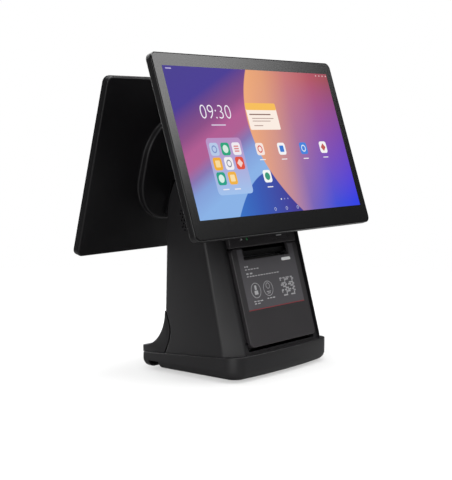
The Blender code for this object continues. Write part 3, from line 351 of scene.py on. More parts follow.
def carve(piece, *cutters):
    """Cuts each cutter out of a piece, and removes the cutters."""
    for cutter in cutters:
        step = piece.modifiers.new(cutter.name, "BOOLEAN")
        step.operation = "DIFFERENCE"
        step.object = cutter
    settle(piece)
    for cutter in cutters:
        bpy.data.objects.remove(cutter)
    return piece


def soften(piece, width, segments=3, angle=30):
    """Rounds every edge that is sharper than an angle in degrees."""
    step = piece.modifiers.new("edges", "BEVEL")
    step.width = width
    step.segments = segments
    step.limit_method = "ANGLE"
    step.angle_limit = math.radians(angle)
    return settle(piece)


def dress(piece, material, body, slot, *nodes, smooth=35):
    """Gives a piece its finish and its body, and hides the CAD nodes that it stands for."""
    piece.data.materials.clear()
    piece.data.materials.append(material)
    piece.data.shade_smooth()
    piece.data.set_sharp_from_angle(angle=math.radians(smooth))
    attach(piece, body)
    if nodes:
        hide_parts(*nodes)
    return piece


housing = moulded("housing_plastic", HOUSING, 0.46, Specular_IOR_Level=0.38)
rubber = moulded("rubber", "#232323", 0.85, grain=900, relief=0.00008)

plinth_low, plinth_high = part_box("plinth")
plinth_half = plinth_high.x


def plinth_outline(in_by=0.0):
    """The plinth from above, anticlockwise: four round corners and a front that is a shallow parabola.

    Moved inwards, it keeps its corners round: their radius shrinks by as much, down to a small one."""
    front, back_y = plinth_low.y + PLINTH_BOW + in_by, plinth_high.y - in_by
    fore, aft = (max(radius - in_by, PLINTH_LEAST) for radius in PLINTH_CORNERS)
    side = plinth_half - in_by - fore
    rear = plinth_half - in_by - aft
    x = side * np.linspace(-1, 1, 33)[1:-1]
    bow = np.stack([x, plinth_low.y + in_by + PLINTH_BOW * (x / side) ** 2], axis=1)
    return np.concatenate([
        arc((-side, front + fore), (fore, fore), 180, 262, 16),
        bow,
        arc((side, front + fore), (fore, fore), 278, 360, 16),
        arc((rear, back_y - aft), (aft, aft), 0, 90, 12),
        arc((-rear, back_y - aft), (aft, aft), 90, 180, 12),
    ])


def plinth_top(y):
    """The deck's height: it rises evenly towards the cashier."""
    return PLINTH_BACK_TOP + (plinth_high.y - y) * PLINTH_SLOPE


def plinth_rings():
    """The outer wall from the deck's inner edge down to the foot, then the inner wall back up."""
    top = plinth_top(plinth_outline()[:, 1])
    rings = []

    def level(line, height):
        rings.append(np.column_stack([line, np.broadcast_to(height, len(line))]))

    level(plinth_outline(DECK_WIDTH), top)
    for into, down in quarter(6):
        level(plinth_outline(PLINTH_BROW * into), top - PLINTH_BROW * down)
    for into, lift in reversed(quarter(12)):
        level(plinth_outline(PLINTH_ROUND * into), PLINTH_FOOT + PLINTH_ROUND * lift)
    inner = PLINTH_ROUND - PLINTH_WALL
    for into, lift in quarter(8):
        level(plinth_outline(PLINTH_WALL + inner * into), PLINTH_FOOT + PLINTH_WALL + inner * lift)
    level(plinth_outline(PLINTH_WALL), top - PLINTH_WALL)
    level(plinth_outline(DECK_WIDTH), top - PLINTH_WALL)
    return rings


plinth = skin("plinth_skin", plinth_rings(), capped=False, closed=True)
notch_y = plinth_high.y - NOTCH_FORWARD
notches = [
    block(
        f"notch_{side}",
        (side * (plinth_half - 2 * PLINTH_ROUND), notch_y - NOTCH[0] / 2, -0.01),
        (side * (plinth_half + 0.01), notch_y + NOTCH[0] / 2, NOTCH[1]),
    )
    for side in (-1, 1)
]
power_low, power_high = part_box("power_button")
power_middle = (power_low + power_high) / 2
power_radius = (power_high.z - power_low.z) / 2 - 0.0010  # less its flange


def rod(name, radius, near, far, sides=48):
    """A round bar between two points, with its ends slightly rounded."""
    near, far = Vector(near), Vector(far)
    length = (far - near).length
    edge = min(radius, length) * 0.12
    turn = np.array((far - near).to_track_quat("Z", "Y").to_matrix())
    steps = ((radius - edge, 0), (radius, edge), (radius, length - edge), (radius - edge, length))
    rings = [(circle(sides) * r + [0, 0, h]) @ turn.T + np.array(near) for r, h in steps]
    return skin(name, rings)


through = Vector((0.01, 0, 0))
carve(plinth, *notches, rod("power_hole", power_radius + GAP, power_middle - through, power_middle + through))
dress(plinth, housing, "stand", "housing", "plinth")


def turned(name, middle, profile, sides=64):
    """A turned piece about a vertical line: the profile is pairs of radius and height."""
    return skin(name, [circle(sides) * r + [middle.x, middle.y, z] for r, z in profile])


for i in range(1, 5):
    low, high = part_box(f"foot_{i}")
    radius = (high.x - low.x) / 2
    profile = [(radius * 0.55, 0.0004), (radius * 0.62, 0), (radius * 0.94, 0), (radius, 0.0006)]
    profile += [(radius, high.z * 0.45), (radius * 0.93, high.z * 0.6), (radius * 0.93, high.z)]
    dress(turned(f"rubber_foot_{i}", (low + high) / 2, profile), rubber, "stand", "rubber", f"foot_{i}")


# ---------------------------------------------------------------- column
# The column is one shell: two upright sides, a chamfer down each front corner and a top that rounds over
# to the back. Its sloping front has a recessed frame for the printer cover, and each side has sound holes.

COLUMN_WALL = 0.0026
FRONT_WALL = 0.0110
SLOPE = math.radians(15.8)  # how far the printer cover leans back
RIDGE_HALF = 0.0805
RIDGE_BEHIND = 0.0016
SIDE_EDGE = (0.0596, 0.1704)  # back from the plinth's front, and up
SIDE_SLOPE = 0.2136
REAR_FOOT = 0.1300
REAR_BEND = (0.1245, 0.2000)  # back from the plinth's front, and up
TOP_MIDDLE = 0.0865
TOP_RADIUS = 0.0190
FLARE_TOP = 0.0805
PARTING_BULGE = 0.0088
EDGE_ROUND = 0.0030
FOOT_SPARE = 0.0050  # made longer by this before the foot is cut
LEDGE_DEPTH = 0.0056
LEDGE_WIDTH = 0.0088
CAP_TOP = 0.0778
SOUND_HOLE = 0.0014
SOUND_PITCH = 0.0047
SOUND_SIDES = 12
ARM_SLOT = (0.0260, 0.0070)  # half width, half height
COVER_DEPTH = 0.0120
COVER_SIDE_GAP = 0.0005
PIN_BORE = 0.0023

fore = plinth_low.y
cover_low, cover_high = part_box("printer_cover")
cover_width = cover_high.x - cover_low.x
cover_length = (cover_high.z - cover_low.z - COVER_DEPTH * math.sin(SLOPE)) / math.cos(SLOPE)
seam = np.array([cover_low.y + cover_length * math.sin(SLOPE), cover_high.z])
column_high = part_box("column_shell")[1]


class Plane:
    """A leaning plane: across, up its slope and out towards the viewer, from a point at its foot or seam."""

    def __init__(self, origin, lean, side=-1):
        self.origin = np.array(origin, float)
        across = (-side, 0, 0)
        up = (0, -side * math.sin(lean), math.cos(lean))
        out = (0, side * math.cos(lean), math.sin(lean))
        self.axes = np.array([across, up, out], float)

    def place(self, points):
        """Points given as across, up and out, in the terminal's frame."""
        return np.asarray(points, float) @ self.axes + self.origin

    def move(self, piece):
        """Puts a mesh that was made in the plane's own directions where it belongs."""
        turn = Matrix(self.axes.T.tolist()).to_4x4()
        piece.data.transform(Matrix.Translation(self.origin.tolist()) @ turn)
        return piece


slope_face = Plane((0, seam[0], seam[1]), SLOPE)


def front_line(z):
    """The two front edges, a little behind the printer cover's face."""
    return seam[0] + (z - seam[1]) * math.tan(SLOPE) + RIDGE_BEHIND / math.cos(SLOPE)


def side_line(z):
    """The front edge of each side: a straight line that leans back."""
    return fore + SIDE_EDGE[0] + (z - SIDE_EDGE[1]) * SIDE_SLOPE


def rear_line(z):
    """The column's back, straight from its foot to the bend."""
    share = (z - PLINTH_BACK_TOP) / (REAR_BEND[1] - PLINTH_BACK_TOP)
    return fore + REAR_FOOT + (REAR_BEND[0] - REAR_FOOT) * share


def parting_line(z, foot):
    """The joint with the cable cover bows forward as half a sine wave."""
    share = (z - foot) / (FLARE_TOP - foot)
    return rear_line(z) - PARTING_BULGE * np.sin(np.pi * share)


def on_plinth(line):
    """The height at which a leaning line meets the deck, found by repeated steps."""
    z = PLINTH_BACK_TOP
    for _ in range(8):
        z = plinth_top(line(z)) + GAP
    return z


def column_profile(line, wall, front_wall, drop):
    """The column from the side: up its front, over an elliptical shoulder, round to the back and down."""
    top = column_high.z
    foot = on_plinth(line)
    rear_foot = plinth_top(fore + REAR_FOOT) + GAP
    z = np.linspace(foot, top - TOP_RADIUS, 25)
    front = np.stack([line(z) + front_wall, z], axis=1)
    front[0, 1] -= drop
    middle = fore + TOP_MIDDLE
    shoulder = (middle - line(top - TOP_RADIUS) - front_wall, TOP_RADIUS - wall)
    over = arc((middle, top - TOP_RADIUS), shoulder, 180, 90, 20)[1:]
    rear = (fore + REAR_BEND[0] - middle - wall, top - REAR_BEND[1] - wall)
    down = arc((middle, REAR_BEND[1]), rear, 90, 0, 28)[1:]
    straight = np.array([[rear_line(FLARE_TOP) - wall, FLARE_TOP]])
    z = np.linspace(FLARE_TOP, rear_foot, 22)[1:]
    parting = np.stack([parting_line(z, rear_foot) - wall, z], axis=1)
    parting[-1, 1] -= drop
    return np.concatenate([front, over, down, straight, parting])


def column_rings(wall, front_wall, drop):
    """Four side views from left to right: side, front edge, front edge, side. The chamfers lie between them."""
    half = column_high.x - wall
    ridge = RIDGE_HALF - wall * 0.6
    side = column_profile(side_line, wall, wall * 2, drop)
    front = column_profile(front_line, wall, front_wall, drop)
    lines = ((-half, side), (-ridge, front), (ridge, front), (half, side))
    return [np.column_stack([np.full(len(line), x), line]) for x, line in lines]


def across(profile, half):
    """A side view carried from one side to the other."""
    return [np.column_stack([np.full(len(profile), x), profile]) for x in (-half, half)]


def below_deck(name):
    """All that lies under the plinth's deck: it cuts the foot of what stands there, so that the joint is fine."""
    y = np.array([plinth_low.y - 0.01, plinth_high.y + 0.01])
    top = plinth_top(y) + GAP
    return skin(name, across(np.array([[y[0], 0], [y[1], 0], [y[1], top[1]], [y[0], top[0]]]), plinth_half + 0.01))


def soft_edged_column():
    """The column's outside: the four lines above, with each corner line replaced by a short arc."""
    return soften(skin("column_skin", column_rings(0, 0, FOOT_SPARE)), EDGE_ROUND, 5, 20)


column = soft_edged_column()
window_half = cover_width / 2 + COVER_SIDE_GAP
ledge_half = window_half + LEDGE_WIDTH
ledge = slope_face.move(block(
    "ledge", (-ledge_half, -cover_length - 0.052, -LEDGE_DEPTH), (ledge_half, CAP_TOP, 0.011)
))
window = slope_face.move(block(
    "window", (-window_half, -cover_length - 0.004, -0.030), (window_half, CAP_TOP, 0.012)
))
pivots = {joint["name"]: Vector(joint.get("pos_m", (0, 0, 0))) for joint in frame["joints"]}
middle_y = fore + TOP_MIDDLE
slot_half, slot_rise = ARM_SLOT
arm_slots = [
    block(f"{name}_slot", (-slot_half, middle_y, pivot.z - slot_rise), (slot_half, pivot.y, pivot.z + slot_rise))
    for name, pivot in (("front", pivots["front_tilt"]), ("rear", pivots["rear_tilt"]))
]
port_window = block("port_window", (-0.052, middle_y, 0), (0.052, plinth_high.y, 0.040))
pin_low, pin_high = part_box("cover_pin")
pin_middle = (pin_low + pin_high) / 2


def pin_cutter(name, beyond):
    """A bore for the cover's pin, with its length given past the pin's ends."""
    near, far = pin_low.x - beyond, pin_high.x + beyond
    return rod(name, PIN_BORE, (near, pin_middle.y, pin_middle.z), (far, pin_middle.y, pin_middle.z), 24)


pin_hole = pin_cutter("pin_hole", GAP)
speaker_low, speaker_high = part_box("speaker_left")
speaker = (speaker_low + speaker_high) / 2


def sound_holes(name, side):
    """Seven slanting rows of three round holes, joined in one cutter."""
    ring = np.roll(circle(SOUND_SIDES), 1, axis=1) * SOUND_HOLE
    points, faces = [], []
    for row in range(7):
        for column_index in range(3):
            y = speaker.y + (column_index - 1 + 0.5 * (row % 2)) * SOUND_PITCH - row * 0.0011
            z = speaker.z + (3 - row) * SOUND_PITCH * 0.87
            base = len(points) * SOUND_SIDES
            for x in (column_high.x - 0.006, column_high.x + 0.003):
                points.append(ring + [side * x, y, z])
            faces += [[base + f for f in face] for face in skin_faces(2, SOUND_SIDES, True)]
    made = mesh_object(name, np.concatenate(points), faces)
    set_normals_out(made.data)
    return made


cavity = skin("column_cavity", column_rings(COLUMN_WALL, FRONT_WALL, 0.01))
carve(
    column, below_deck("column_foot"), cavity, ledge, window, *arm_slots, port_window, pin_hole,
    sound_holes("holes_left", -1), sound_holes("holes_right", 1),
)
dress(column, housing, "stand", "housing", "column_shell")


# ---------------------------------------------------------------- cable cover
# The cover behind the column snaps over the sockets. It flares down to the plinth's back edge, and its
# front edge meets the column on the bowed parting line.

FLARE_FOOT = 0.0310
CABLE_WALL = 0.0024
PARTING_GAP = 0.0006
CABLE_EDGE = 0.0022


def cable_profile(wall, forward, drop):
    """Up the parting line, down a quarter ellipse and down the back."""
    foot = plinth_top(fore + REAR_FOOT) + GAP
    z = np.linspace(foot, FLARE_TOP, 22)[:-1]
    parting = np.stack([parting_line(z, foot) + PARTING_GAP - forward, z], axis=1)
    parting[0, 1] -= drop
    span = plinth_high.y - rear_line(FLARE_TOP) - PARTING_GAP
    sink = wall * 0.6
    flare = arc((plinth_high.y, FLARE_TOP), (span, FLARE_TOP - FLARE_FOOT), 180, 262, 30) - [wall, sink]
    flare[0, 0] += wall
    foot_back = plinth_top(plinth_high.y) + GAP - drop
    end = [[plinth_high.y - wall, FLARE_FOOT - sink], [plinth_high.y - wall, foot_back]]
    return np.concatenate([parting, flare, end])


cable_cover = soften(
    skin("cable_cover_skin", across(cable_profile(0, 0, FOOT_SPARE), column_high.x)), CABLE_EDGE, 4, 40
)
cable_room = skin("cable_room", across(cable_profile(CABLE_WALL, 0.0176, 0.0096), column_high.x - CABLE_WALL))
carve(cable_cover, below_deck("cable_foot"), cable_room)
dress(cable_cover, housing, "stand", "housing", "rear_cover")


# ---------------------------------------------------------------- printer cover
# The cover swings down on a pin at its foot. It is a shallow tray with a soft edge, cut back at the top
# for the receipt, and carries a lighter printed panel with plain marks and a red line.

COVER_CODE = "#2C2A2C"
COVER_CORNER = 0.0070
COVER_RIM = 0.0035
COVER_SKIN = 0.0030
COVER_EDGE = 0.0014
EXIT = (0.0950, 0.0160)  # width, height
PANEL_HALF = 0.0597
PANEL_FOOT = -0.0810  # up from the seam
PANEL_THICK = 0.00012
MARK_THICK = 0.00005
FLAT_RING = 0.0005  # a ring in the flat of a face, which keeps its shading flat up to the rounding

cover_plastic = moulded("cover_plastic", COVER_CODE, 0.40)


def rounded(width, low, high, radius, steps=12):
    """A rectangle centred on 0 across, with round corners, anticlockwise."""
    side = width / 2 - radius
    turn = (radius, radius)
    return np.concatenate([
        arc((side, low + radius), turn, -90, 0, steps),
        arc((side, high - radius), turn, 0, 90, steps),
        arc((-side, high - radius), turn, 90, 180, steps),
        arc((-side, low + radius), turn, 180, 270, steps),
    ])


def slab(name, plane, levels):
    """A plate in a plane: its levels are outlines, each with how far out it lies, from front to back."""
    rings = [np.column_stack([line, np.full(len(line), out)]) for line, out in levels]
    return plane.move(skin(name, rings))


def soft_plate(name, plane, width, low, high, radius, front, depth, edge, steps=5):
    """A plate whose front edge is rounded as a quarter circle and whose back edge is square."""
    def line(in_by):
        return rounded(width - 2 * in_by, low + in_by, high - in_by, max(radius - in_by, radius * 0.1))

    levels = [(line(edge + FLAT_RING), front)]
    levels += [(line(edge * into), front - edge * down) for into, down in quarter(steps)]
    levels.append((line(0), front - depth))
    return slab(name, plane, levels)


foot = -cover_length
cover = soft_plate(
    "printer_cover_skin", slope_face, cover_width, foot, 0, COVER_CORNER, 0, COVER_DEPTH, COVER_EDGE
)
tray = soft_plate(
    "tray", slope_face, cover_width - 2 * COVER_RIM, foot + COVER_RIM, -COVER_RIM,
    COVER_CORNER - COVER_RIM, -COVER_SKIN, COVER_DEPTH, 0.0005,
)
exit_low = -EXIT[1]
exit_room = soft_plate("exit_room", slope_face, EXIT[0], exit_low, 0.010, 0.0015, 0.010, 0.040, 0.0005)
frame_low, frame_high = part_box("printer_frame")
relief_half = (frame_high.x - frame_low.x) / 2 + 0.006
relief = slope_face.move(block("relief", (-relief_half, exit_low, -0.030), (relief_half, 0.010, -COVER_SKIN)))
carve(cover, tray, exit_room, relief, pin_cutter("pin_bore", 0))
dress(cover, cover_plastic, "cover", "cover", "printer_cover")

panel = soft_plate(
    "printed_panel", slope_face, 2 * PANEL_HALF, PANEL_FOOT, -0.0022, 0.0010,
    PANEL_THICK + 0.00002, PANEL_THICK, 0.00005, 2,
)
notch_half = EXIT[0] / 2 + 0.0015
panel_notch = block("panel_notch", (-notch_half, exit_low - 0.0008, -0.01), (notch_half, 0.01, 0.01))
carve(panel, slope_face.move(panel_notch))
panel_ink = moulded("panel_ink", "#4C4A4E", 0.48, grain=3200, relief=0.00001)
dress(panel, panel_ink, "cover", "cover")


def disc(x, y, radius, sides=28):
    """A circle of few sides: four make a diamond."""
    return arc((x, y), (radius, radius), 0, 360, sides)[:-1]


def pill(x, y, width, height, radius=None, steps=6):
    """A rounded bar centred on a point."""
    line = rounded(width, -height / 2, height / 2, min(width, height) * 0.49 if radius is None else radius, steps)
    return line + [x, y]


def ring_strips(x, y, radius, width, sides=32):
    """A ring as short flat strips that meet."""
    angle = np.linspace(0, 2 * math.pi, sides + 1)
    outer = np.stack([x + radius * np.cos(angle), y + radius * np.sin(angle)], axis=1)
    inner = np.stack([x + (radius - width) * np.cos(angle), y + (radius - width) * np.sin(angle)], axis=1)
    return [np.array([outer[i], outer[i + 1], inner[i + 1], inner[i]]) for i in range(sides)]


def prints(name, plane, shapes, front):
    """Flat printed or lit shapes: each is an outline, its sRGB code and the layer that it lies on.

    Two codes fade from the outline's foot to its top, in proportion to the height."""
    points, faces, tints = [], [], []
    base = 0
    for line, code, layer in shapes:
        count = len(line)
        low = front + layer * MARK_THICK
        for out in (low + MARK_THICK * 0.9, low):
            points.append(np.column_stack([line, np.full(count, out)]))
        faces += [[base + f for f in face] for face in skin_faces(2, count, True)]
        foot_code, top_code = (code, code) if isinstance(code, str) else code
        share = (line[:, 1:] - line[:, 1].min()) / np.ptp(line[:, 1])
        fade = np.array(shade(foot_code)) * (1 - share) + np.array(shade(top_code)) * share
        tints += [fade, fade]
        base += 2 * count
    made = mesh_object(name, np.concatenate(points), faces)
    tint = made.data.attributes.new("tint", "FLOAT_COLOR", "POINT")
    tint.data.foreach_set("color", np.concatenate(tints).astype(np.float32).ravel())
    plane.move(made)
    set_normals_out(made.data, merge=False)
    return made


def ink():
    """Screen-printed ink that takes each shape's own colour."""
    material, start = finish("printed_ink", 0.5)
    tint = start.node("Attribute", {"attribute_name": "tint"}, {}, "Color")
    place = start.node("TexCoord", {}, {}, "Object")
    feed(material, "Base Color", tint)
    feed(material, "Roughness", 0.45 + noise(place, 900) * 0.15)
    return material


PALE = "#B9B9BB"
RED = "#A3343C"
CODE_PITCH = 0.0023

printed_ink = ink()
# the white tag, then bars in place of words: across, up from the seam, width and height
marks = [(pill(0.039, -0.0218, 0.020, 0.0042), "#F2F2F2", 0)]
for x, y, width, height in (
    (-0.0475, -0.0252, 0.0090, 0.0020),
    (-0.0370, -0.0290, 0.0300, 0.0013),
    (-0.0440, -0.0345, 0.0150, 0.0020),
    (-0.0165, -0.0382, 0.0690, 0.0013),
    (-0.0370, -0.0712, 0.0200, 0.0013),
    (-0.0400, -0.0742, 0.0140, 0.0013),
    (-0.0100, -0.0700, 0.0180, 0.0013),
):
    words = max(2, int(width / 0.0055))
    for word in range(words):
        share = width / words
        middle = x - width / 2 + share * (word + 0.5)
        marks.append((pill(middle, y, share * (0.62 + 0.25 * ((word * 7) % 3) / 2), height, steps=2), PALE, 0))
# the two round drawings
for x in (-0.0376, -0.0118):
    marks += [(strip, PALE, 0) for strip in ring_strips(x, -0.0572, 0.0100, 0.0007)]
marks.append((pill(-0.0376, -0.0600, 0.0072, 0.0052, 0.0008), PALE, 0))
marks.append((pill(-0.0376, -0.0535, 0.0040, 0.0060, 0.0006), PALE, 0))
marks += [(strip, PALE, 0) for strip in ring_strips(-0.0118, -0.0535, 0.0040, 0.0007, 20)]
marks.append((pill(-0.0118, -0.0612, 0.0090, 0.0009, 0.0002), PALE, 0))
marks.append((pill(-0.0118, -0.0634, 0.0060, 0.0009, 0.0002), PALE, 0))
# a square of dots that stands for a code and says nothing
for i in range(13):
    for j in range(11):
        if (i * i + 3 * i * j + 2 * j) % 7 < 3:
            dot = pill(0.0170 + i * CODE_PITCH, -0.0470 - j * CODE_PITCH, 0.0019, 0.0019, 0.0003, 1)
            marks.append((dot, PALE, 0))
# the red line at the panel's foot
marks.append((pill(0, PANEL_FOOT - 0.0006, 2 * PANEL_HALF, 0.0007, 0.0002), RED, 0))
cover_marks = prints("cover_marks", slope_face, marks, PANEL_THICK + 0.00004)
dress(cover_marks, printed_ink, "cover", "cover")


# ---------------------------------------------------------------- cap, keys and lamp
# The cap closes the front above the cover. A long key in it lets the cover go, a round one feeds paper,
# and a small lens between them shows that the printer has power.

CAP_DEPTH = 0.0100
CAP_RIM = 0.0035
SEAM_GAP = 0.0008
KEY_EDGE = 0.0006
KEY_DEPTH = 0.0062
KEY_FLANGE = 0.0010
RELEASE_HEIGHT = 0.0090

cap_low, cap_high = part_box("front_cap")
cap_top = CAP_TOP - SEAM_GAP
cap = soft_plate(
    "front_cap_skin", slope_face, cap_high.x - cap_low.x, SEAM_GAP, cap_top, 0.0012, 0, CAP_DEPTH, 0.0009
)
cap_room = slope_face.move(block(
    "cap_room",
    (cap_low.x + CAP_RIM, SEAM_GAP + CAP_RIM, -0.02),
    (cap_high.x - CAP_RIM, cap_top - CAP_RIM, -COVER_SKIN),
))


def key_place(node):
    """The middle of a key in the slope's own directions, and its half width."""
    low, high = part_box(node)
    middle = (np.array(low + high) / 2 - slope_face.origin) @ slope_face.axes.T
    return middle, (high.x - low.x) / 2


release, release_half = key_place("release_button")
feed_middle, feed_half = key_place("feed_button")
lamp_middle, lamp_half = key_place("status_lamp")
release_width = 2 * (release_half - KEY_FLANGE)
feed_radius = feed_half - KEY_FLANGE


def cap_hole(name, middle, width, height, radius):
    """A cutter for a key's hole, a gap wider than the key all round."""
    low = middle[1] - height / 2 - GAP
    high = low + height + 2 * GAP
    made = soft_plate(name, slope_face, width + 2 * GAP, low, high, radius, 0.01, 0.03, 0.0002, 2)
    made.data.transform(Matrix.Translation((middle[0], 0, 0)))
    return made


carve(
    cap,
    cap_room,
    cap_hole("release_hole", release, release_width, RELEASE_HEIGHT, 0.0010),
    cap_hole("feed_hole", feed_middle, 2 * feed_radius, 2 * feed_radius, feed_radius * 0.98),
    cap_hole("lamp_hole", lamp_middle, 2 * lamp_half, 2 * lamp_half, lamp_half * 0.98),
)
dress(cap, cover_plastic, "stand", "cover", "front_cap")


def key(name, middle, width, height, radius, depth, front=0.0):
    """A soft-edged key whose face lies level with the cap's, or as far out as is given."""
    low = middle[1] - height / 2
    made = soft_plate(name, slope_face, width, low, low + height, radius, front, depth, KEY_EDGE)
    made.data.transform(Matrix.Translation((middle[0], 0, 0)))
    return made


black = moulded("black_plastic", "#0A0A0B", 0.5, Specular_IOR_Level=0.2)
dress(
    key("release_key_skin", release, release_width, RELEASE_HEIGHT, 0.0012, KEY_DEPTH),
    cover_plastic, "release_key", "black", "release_button",
)
dress(
    key("feed_key_skin", feed_middle, 2 * feed_radius, 2 * feed_radius, feed_radius * 0.98, KEY_DEPTH),
    cover_plastic, "feed_key", "black", "feed_button",
)
lens, start = finish("lamp_lens", 0.15, Coat_Weight=0.5)
place = start.node("TexCoord", {}, {}, "Object")
feed(lens, "Base Color", noise(place, 600).mix(shade("#2E7A46"), shade("#4FA868")))
dress(
    key("status_lens", lamp_middle, 2 * lamp_half, 2 * lamp_half, lamp_half * 0.98, 0.0048, -GAP),
    lens, "stand", "lens", "status_lamp",
)
arrow = np.array([(-0.0030, -0.0012), (0.0030, -0.0012), (0, 0.0022)])
key_marks = [(pill(release[0], release[1], 0.0120, 0.0012, steps=2), PALE, 0)]
dress(prints("release_marks", slope_face, key_marks, 0.00002), printed_ink, "release_key", "black")
feed_marks = [(arrow * 0.8 + feed_middle[:2], PALE, 0)]
dress(prints("feed_marks", slope_face, feed_marks, 0.00002), printed_ink, "feed_key", "black")
dress(
    rod(
        "power_key_skin", power_radius,
        (power_low.x + 0.0014, power_middle.y, power_middle.z), (power_high.x, power_middle.y, power_middle.z),
    ),
    black, "power_key", "black", "power_button",
)


# ---------------------------------------------------------------- displays
# Each display is one sheet of glass with a rounded edge and a black border over a lit picture, in a thin
# shell whose back carries a raised housing for the electronics and the hinge.

LEANS = {"front": math.radians(18.2), "rear": math.radians(14.8)}
GLASS_SIZE = (0.374, 0.236)
GLASS_THICK = 0.0022
GLASS_CORNER = 0.0090
GLASS_EDGE = (0.0022, 0.0014)  # how far in and how deep the edge rounds
PICTURE = (0.34416, 0.19359)
PICTURE_UP = 0.1220  # from the glass's foot to the picture's middle
SHELL_DEPTH = 0.0080
SHELL_WALL = 0.0020
SHELL_EDGE = 0.0022
HOUSING_SIZE = (0.2000, 0.1460)
HOUSING_CORNER = 0.0600
HOUSING_DEPTH = 0.0090
HOUSING_EDGE = 0.0030
HOUSING_FOOT = 0.0035
GLOW = 0.95

half_w, half_h = PICTURE[0] / 2, PICTURE[1] / 2


def glowing(name, roughness):
    """A face that gives light and hardly reflects; its colour comes later."""
    material, start = finish(name, roughness, Specular_IOR_Level=0.05)
    shader = material.node_tree.nodes["Principled BSDF"]
    shader.inputs["Base Color"].default_value = (0, 0, 0, 1)
    shader.inputs["Emission Strength"].default_value = GLOW
    return material, start


def glass_material():
    """Black-bordered cover glass, with faint smears that change how sharply it reflects."""
    material, start = finish("cover_glass", 0.26, IOR=1.5)
    place = start.node("TexCoord", {}, {}, "Object")
    smear = noise(place, 9, 4)
    feed(material, "Base Color", smear.mix(shade("#040405"), shade("#070708")))
    rim = start.node("Attribute", {"attribute_name": "rim"}, {}, 2)
    feed(material, "Roughness", 0.24 + smear * 0.04 - rim * 0.16)
    return material


def picture_material():
    """The lit picture: two soft washes of colour that meet on a parabola, and a low wave at the bottom."""
    material, start = glowing("picture_light", 0.35)
    spot = start.node("UVMap", {"uv_map": "picture"}, {})
    parts = start.node("SeparateXYZ", {}, {0: spot})
    across_it = Value(start.tree, parts.socket)
    down = 1 - Value(start.tree, parts.socket.node.outputs["Y"])

    def wash(along, stops):
        stops = [(place, shade(code)) for place, code in stops]
        return start.node("ValToRGB", {"stops": stops}, {0: along})

    left = wash(across_it * 0.8 + down, (
        (0.0, "#41358E"), (0.30, "#443494"), (0.40, "#70428A"), (0.50, "#8C4B87"), (0.60, "#B35C94"),
        (0.69, "#B06096"), (0.77, "#8A76B4"), (0.86, "#86A2DC"), (1.0, "#8DB6EB"),
    ))
    upper = wash(across_it, (
        (0.40, "#F6B078"), (0.55, "#E6A078"), (0.70, "#CC7A7A"), (0.87, "#B65868"), (1.0, "#A2505C"),
    ))
    lower = wash(across_it, (
        (0.42, "#E8A488"), (0.56, "#C08CA0"), (0.68, "#7C68BC"), (0.84, "#4452DA"), (1.0, "#3342EC"),
    ))
    right = (down * 1.08 - 0.05).clamped().mix(upper, lower)
    from_bend = down - 0.36
    split = across_it.above(from_bend * from_bend * 0.5 + 0.40, 0.004)
    from_crest = 0.47 - across_it
    wave = down.above(from_crest * from_crest * 4.6 + 0.71, 0.006)
    low_wave = wash(across_it, ((0.20, "#3A78CC"), (0.36, "#3A5CB8"), (0.55, "#45409A")))
    left = wave.mix(left, low_wave)
    feed(material, "Emission Color", split.mix(left, right))
    return material


def lit_marks():
    """Lit shapes on the picture: each glows in its own colour."""
    material, start = glowing("lit_marks", 0.4)
    feed(material, "Emission Color", start.node("Attribute", {"attribute_name": "tint"}, {}, "Color"))
    return material


cover_glass = glass_material()
picture_light = picture_material()
lit = lit_marks()
shell_plastic = moulded("shell_plastic", "#0D0C0E", 0.42, Specular_IOR_Level=0.3)


def icon(u, v, code, glyph, glyph_code):
    """A square key with round corners, and a plain shape on it."""
    shapes = [(pill(u, v, 0.0165, 0.0165, 0.0038), code, 2)]
    if glyph == "ring":
        shapes += [(strip, glyph_code, 3) for strip in ring_strips(u, v, 0.0050, 0.0016, 20)]
    elif glyph == "disc":
        shapes.append((disc(u, v, 0.0052, 20), glyph_code, 3))
    elif glyph == "bars":
        shapes += [(pill(u, v + step, 0.0092, 0.0018, 0.0005, 2), glyph_code, 3) for step in (-0.0032, 0, 0.0032)]
    elif glyph == "diamond":
        shapes.append((disc(u, v, 0.0056, 4), glyph_code, 3))
    else:
        shapes.append((pill(u, v, 0.0088, 0.0088, 0.0012), glyph_code, 3))
    return shapes


